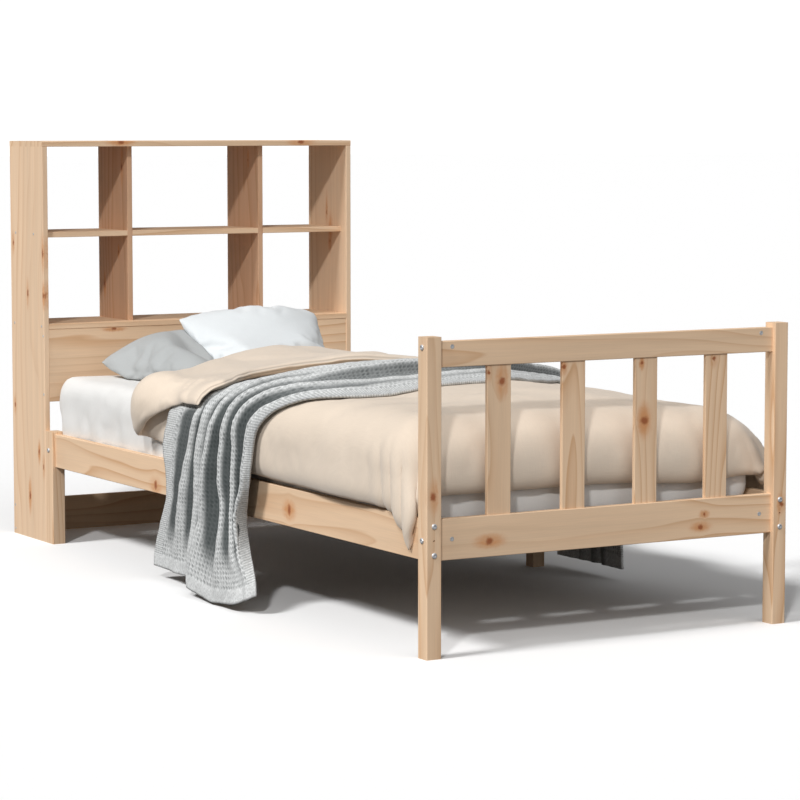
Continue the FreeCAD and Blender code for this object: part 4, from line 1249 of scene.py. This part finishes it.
class BED_OT_throw(bpy.types.Operator):
    """Knitted throw laid across the bed"""

    bl_idname = "bed.throw"
    bl_label = "Make the throw"

    # Flat widths from the foot edge to the head edge: border, then hollow and fold in turn
    flat_steps = (0.045, 0.030, 0.065, 0.032, 0.065, 0.035, 0.090, 0.038, 0.100, 0.028, 0.085, 0.028, 0.090)
    # Left drop, by height: where the foot edge, the border, five folds and the head edge hang, how far
    # out each stands, and how far out the hollows between them lie
    drop_z = (0.45, 0.40, 0.34, 0.28, 0.21, 0.13, 0.05)
    drop_y = (
        (-0.425, -0.382, -0.328, -0.270, -0.214, -0.122, -0.071, 0.105),
        (-0.401, -0.375, -0.328, -0.263, -0.206, -0.101, -0.049, 0.122),
        (-0.394, -0.375, -0.326, -0.263, -0.198, -0.089, -0.026, 0.132),
        (-0.378, -0.367, -0.325, -0.267, -0.183, -0.088, -0.004, 0.110),
        (-0.331, -0.344, -0.331, -0.282, -0.165, -0.092, 0.021, 0.105),
        (-0.352, -0.366, -0.353, -0.281, -0.135, -0.090, 0.044, 0.150),
        (-0.445, -0.425, -0.385, -0.275, -0.109, -0.081, 0.065, 0.185))
    drop_out = (
        (0.007, 0.017, 0.027, 0.030, 0.035, 0.022, 0.020, 0.008),
        (0.009, 0.019, 0.030, 0.033, 0.040, 0.023, 0.020, 0.008),
        (0.011, 0.023, 0.032, 0.035, 0.042, 0.024, 0.021, 0.008),
        (0.008, 0.026, 0.033, 0.036, 0.045, 0.025, 0.022, 0.008),
        (-0.006, 0.032, 0.038, 0.041, 0.048, 0.028, 0.019, 0.007),
        (-0.003, 0.036, 0.045, 0.047, 0.050, 0.036, 0.015, 0.005),
        (0.025, 0.038, 0.048, 0.050, 0.050, 0.042, 0.011, 0.005))
    hollow_out = (
        (0.004, 0.006, 0.005, 0.008, 0.005, 0.006), (0.003, 0.005, 0.003, 0.008, 0.004, 0.006),
        (0.003, 0.004, 0.002, 0.008, 0.003, 0.006), (0.003, 0.004, 0.002, 0.010, 0.003, 0.006),
        (0.014, 0.014, 0.006, 0.016, 0.004, 0.006), (0.032, 0.042, 0.032, 0.030, 0.005, 0.005),
        (0.038, 0.049, 0.049, 0.044, 0.006, 0.004))
    # Over the top and down the right side, by the flat way from the bed's middle
    over_s = (-0.475, -0.44, -0.40, -0.30, -0.18, 0.0, 0.16, 0.33, 0.50, 0.65, 0.95)
    foot_y = (-0.477, -0.565, -0.65, -0.68, -0.69, -0.675, -0.58, -0.43, -0.40, -0.42, -0.45)
    head_y = (0.085, 0.065, 0.03, -0.04, -0.11, -0.14, -0.15, -0.14, -0.13, -0.13, -0.15)
    spread_over = (0.0, 0.07, 0.22, 0.36, 0.52, 0.71, 0.86, 1.0)
    out_bend = (0.002, 0.010, 0.020, 0.024, 0.024, 0.016, 0.010, 0.002)
    out_over = (-0.003, 0.003, 0.007, 0.034, 0.024, 0.014, 0.008, 0.0)
    # Height of the left end's hem at the foot edge, the border, the folds, one hollow and the head edge
    hem_marks = (0, 1, 3, 5, 6, 7, 9, 11, 13)
    hem_z = (0.046, 0.034, 0.020, 0.008, 0.006, 0.022, 0.034, 0.030, 0.034)
    # Flat way from the bed's middle to the floor down the left side
    floor_way = 0.9674
    # Heights of the hems that the flat ends are cut for
    left_low, right_low = 0.012, 0.030
    off_duvet, border_rows, border_off = 0.008, 5, 0.005
    half_thick, rib_deep, pit_deep = 0.0035, 0.0005, 0.0030
    border_cells, hem_cells = 7, 6
    # Share of the folds' depth lost down the right side, share that hollows on top keep, and the most
    # that folds under the flap keep
    right_lost, hollow_share, flap_depth = 0.75, 0.25, 0.006
    # Unevenness of the folds' places, of their depths and of the knit
    uneven_place, uneven_depth, uneven_knit = 0.0025, 0.22, 0.0018
    # Colour of the painted shade in the pits, in the lines between the ribs and in the hollows between the
    # folds
    painted_shade_colour = (0.045, 0.055, 0.055, 1)

    def plan(self, s):
        """Where the throw's edges, folds and hollows lie along each of its columns, and how far out"""
        stations = [z - self.floor_way for z in self.drop_z][::-1] + list(self.over_s)
        over_s, foot, head = (numpy.array(v)[:, None] for v in (self.over_s, self.foot_y, self.head_y))
        place = numpy.concatenate([self.drop_y[::-1], foot + (head - foot) * self.spread_over])
        fuller = 1.0 - self.right_lost * ease(0.50, 0.80, over_s)
        over = mix(numpy.array(self.out_bend), numpy.array(self.out_over), ease(-0.42, -0.26, over_s))
        over = fuller * over
        out = numpy.concatenate([self.drop_out[::-1], over])
        hollow = numpy.concatenate([self.hollow_out[::-1], self.hollow_share * over[:, 1:7]])

        def along(rows):
            made = numpy.array([numpy.interp(s, stations, column) for column in rows.T])
            even_out(made.T, 6)
            return made

        place, out, hollow = along(place), along(out), along(hollow)
        lines = [[(x, 0.71 * row, 0.0) for x in s] for row in range(len(place))]
        uneven = numpy.array([cloud(line, 0.17, 11) for line in lines])
        place[1:-1] += self.uneven_place * uneven[1:-1]
        out[1:-1] *= 1.0 + self.uneven_depth * uneven[1:-1]
        y, depth = [place[0]], [out[0]]
        level = ease(-0.42, -0.26, s)
        for k in range(1, 8):
            y.append(place[k])
            depth.append(out[k])
            if k < 7:
                run = numpy.minimum(0.02, 0.45 * (place[k + 1] - place[k]))
                y.append(mix(place[k] + run, place[k + 1] - run, level))
                depth.append(hollow[k - 1])
        return numpy.array(y), numpy.array(depth)

    def execute(self, context):
        sizes = context.scene.bed_sizes
        form = DuvetForm(sizes)
        cell = sizes.throw_cell
        left_end = -form.x_left - form.drop(form.left, self.left_low)
        right_end = form.x_right + form.drop(form.right, self.right_low)
        length = right_end - left_end
        columns = int(round(length / cell)) + 1
        rows = int(round(sum(self.flat_steps) / cell)) + 1
        s = numpy.linspace(left_end, right_end, columns)
        marks = numpy.concatenate([[0.0], numpy.cumsum(self.flat_steps)])
        at = numpy.linspace(0.0, marks[-1], rows)
        k = numpy.clip(numpy.searchsorted(marks, at, side="right") - 1, 0, len(marks) - 2)
        q = ((at - marks[k]) / (marks[k + 1] - marks[k]))[:, None]
        place, out = self.plan(s)
        y = mix(place[k], place[k + 1], q)
        depth = mix(out[k], out[k + 1], ease(0.0, 1.0, q))
        even_out(y)
        across = numpy.tile(s, (rows, 1))
        along = y - form.foot
        outer, normal = form.trunk(across, along)
        shallow = numpy.minimum(depth, self.flap_depth)
        depth = mix(depth, shallow, self.under_flap(form, across, along))
        grid = outer + normal * (self.off_duvet + depth)[..., None]
        ends = numpy.interp(at, marks[list(self.hem_marks)], self.hem_z)[:, None]
        grid[..., 2] += (ends - self.left_low) * ease(0.60, 0.955, -across)
        self.lay_border(grid)
        made, area = self.knit(grid, depth)
        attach(made, BODY)
        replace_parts(made, "throw")
        return {"FINISHED"}

    def under_flap(self, form, across, along):
        """1 where the duvet's flap lies over the throw, on the left"""
        hem = form.flap_hem(across)
        reach = numpy.clip((along - hem) / (form.crest(across) - hem), 0.0, 1.0)
        side = 0.51 + 0.09 * reach
        inside = ease(side + 0.035, side - 0.02, -across) * (across < 0.1)
        return ease(-0.06, 0.02, along - hem) * inside

    def lay_border(self, grid):
        """Lays the foot border down on the duvet's top"""
        graph = bpy.context.evaluated_depsgraph_get()
        duvet = bpy.data.objects["duvet_quilt"].evaluated_get(graph)
        for row in range(self.border_rows):
            for point in grid[row]:
                found, spot, _, _ = duvet.ray_cast(Vector((point[0], point[1], 2.0)), Vector(DOWN))
                if found:
                    on_top = ease(-0.45, -0.37, point[0]) * ease(0.36, 0.28, point[0])
                    share = (1.0 - row / self.border_rows) * on_top
                    point[2] = mix(point[2], spot.z + self.border_off, share)

    def hollows(self, depth):
        """How far each point lies below the folds round it"""
        high = depth.copy()
        for step in range(1, 6):
            high[step:] = numpy.maximum(high[step:], depth[:-step])
            high[:-step] = numpy.maximum(high[:-step], depth[step:])
        return high - depth

    def knit(self, grid, depth):
        """The waffle knit on a finer grid, with ribbed borders and plain ends, and its area"""
        fine = refine(grid, 2)
        hollow = refine(self.hollows(depth)[..., None], 2)[..., 0]
        rows, columns = fine.shape[:2]
        limp = cloud(fine.reshape(-1, 3), 0.04, 13).reshape(rows, columns) * self.uneven_knit
        fine = fine + grid_normal(fine) * limp[..., None]
        normal = grid_normal(fine)
        du, dv = numpy.diff(fine, axis=1)[:-1], numpy.diff(fine, axis=0)[:, :-1]
        area = float(numpy.linalg.norm(numpy.cross(du, dv), axis=-1).sum())
        i, j = numpy.meshgrid(numpy.arange(columns), numpy.arange(rows))
        pit = ((i % 2 == 1) & (j % 2 == 1)).astype(float)
        rib = (i % 2 == 1).astype(float)
        border = numpy.minimum(j, rows - 1 - j) < self.border_cells
        hem = numpy.minimum(i, columns - 1 - i) < self.hem_cells
        relief = numpy.where(hem, 0.0, numpy.where(border, rib * self.rib_deep, pit * self.pit_deep))
        upper = fine + normal * (self.half_thick - relief)[..., None]
        lower = fine - normal * self.half_thick
        piece = new_piece("throw_knitted", *quilt(upper, lower), self.yarn())
        on_top = ease(0.0, 0.1, fine[..., 0] + 0.50)
        # Painted shade: the hollow mark darkens the yarn where it lies below the folds round it, less on top
        # of the bed and on the borders
        painted_fold_shade = ease(0.001, 0.0105, hollow) * ease(6.0, 24.0, i)
        # Painted shade: the pit mark darkens the pits, less on top of the bed
        mark(piece, "pit", numpy.where(hem | border, 0.0, pit) * mix(1.0, 0.7, on_top))
        mark(piece, "band", border & ~hem)
        mark(piece, "run", i)
        mark(piece, "hollow", painted_fold_shade * mix(1.0, 0.75, on_top) * mix(1.0, 0.3, border))
        outward(piece)
        return piece, area

    def yarn(self):
        """Knit finish: painted shade in the pits, in the lines between the border's ribs and in the hollows
        between the folds
        """
        made, tree, shader = material("throw_knit")
        place = object_place(tree)
        cloth = use_group(tree, "Plain weave", {
            "Position": place, "Base": colour(chosen("knit")), "Slub": 0.25, "Blotch": 0.08})
        pit, band, run, deep = (marked(tree, name) for name in ("pit", "band", "run", "hollow"))
        uneven = spread(tree, speckle(tree, place, 60.0, 1.0), 0.3, 0.7, 0.45, 1.0)
        # Painted shade in the pits, darker still in the hollows
        pits = times(tree, calc(tree, "POWER", pit, 0.7), uneven)
        pits = times(tree, pits, plus(tree, 0.78, times(tree, deep, 0.20)))
        wave = calc(tree, "SINE", times(tree, run, 2.0 * math.pi))
        ribs = times(tree, plus(tree, 0.5, times(tree, wave, 0.5)), band)
        fuzz = spread(tree, speckle(tree, place, 190.0, 2.0), 0.32, 0.68, 0.86, 1.12)
        fluffy = scaled(tree, cloth["Color"], fuzz)
        # Painted shade in the hollows between the folds
        painted_hollow_shade = blend_colour(tree, times(tree, deep, 0.92), fluffy, self.painted_shade_colour)
        # Painted shade in the lines between the border's ribs
        lined = blend_colour(tree, times(tree, ribs, 0.34), painted_hollow_shade, self.painted_shade_colour)
        relief = minus(tree, cloth["Height"], ribs)
        feed(tree, shader, {
            "Base Color": blend_colour(tree, pits, lined, self.painted_shade_colour), "Roughness": 0.95,
            "Normal": bump(tree, 0.5, 0.001, relief), "Specular IOR Level": 0.15, "Sheen Weight": 0.1})
        return made


class BED_PT_panel(bpy.types.Panel):
    """Lists the steps that finish the bed"""

    bl_idname = "BED_PT_panel"
    bl_label = "Pine bed"
    bl_space_type = "VIEW_3D"
    bl_region_type = "UI"
    bl_category = "Pine bed"

    def draw(self, context):
        for step in STEPS:
            self.layout.operator(step.bl_idname)
        for owner in (context.scene.bed_finish, context.scene.bed_sizes):
            for key in owner.__annotations__:
                self.layout.prop(owner, key)


STEPS = (BED_OT_stage, BED_OT_pine, BED_OT_hardware, BED_OT_mattress, BED_OT_duvet, BED_OT_pillows,
         BED_OT_throw)
CLASSES = (BedFinish, BedSizes) + STEPS + (BED_PT_panel,)


def register():
    for made in CLASSES:
        bpy.utils.register_class(made)
    bpy.types.Scene.bed_finish = bpy.props.PointerProperty(type=BedFinish)
    bpy.types.Scene.bed_sizes = bpy.props.PointerProperty(type=BedSizes)


def unregister():
    del bpy.types.Scene.bed_sizes
    del bpy.types.Scene.bed_finish
    for made in reversed(CLASSES):
        bpy.utils.unregister_class(made)


def main():
    register()
    for step in STEPS:
        area, name = step.bl_idname.split(".")
        getattr(getattr(bpy.ops, area), name)()


if __name__ == "__main__":
    main()
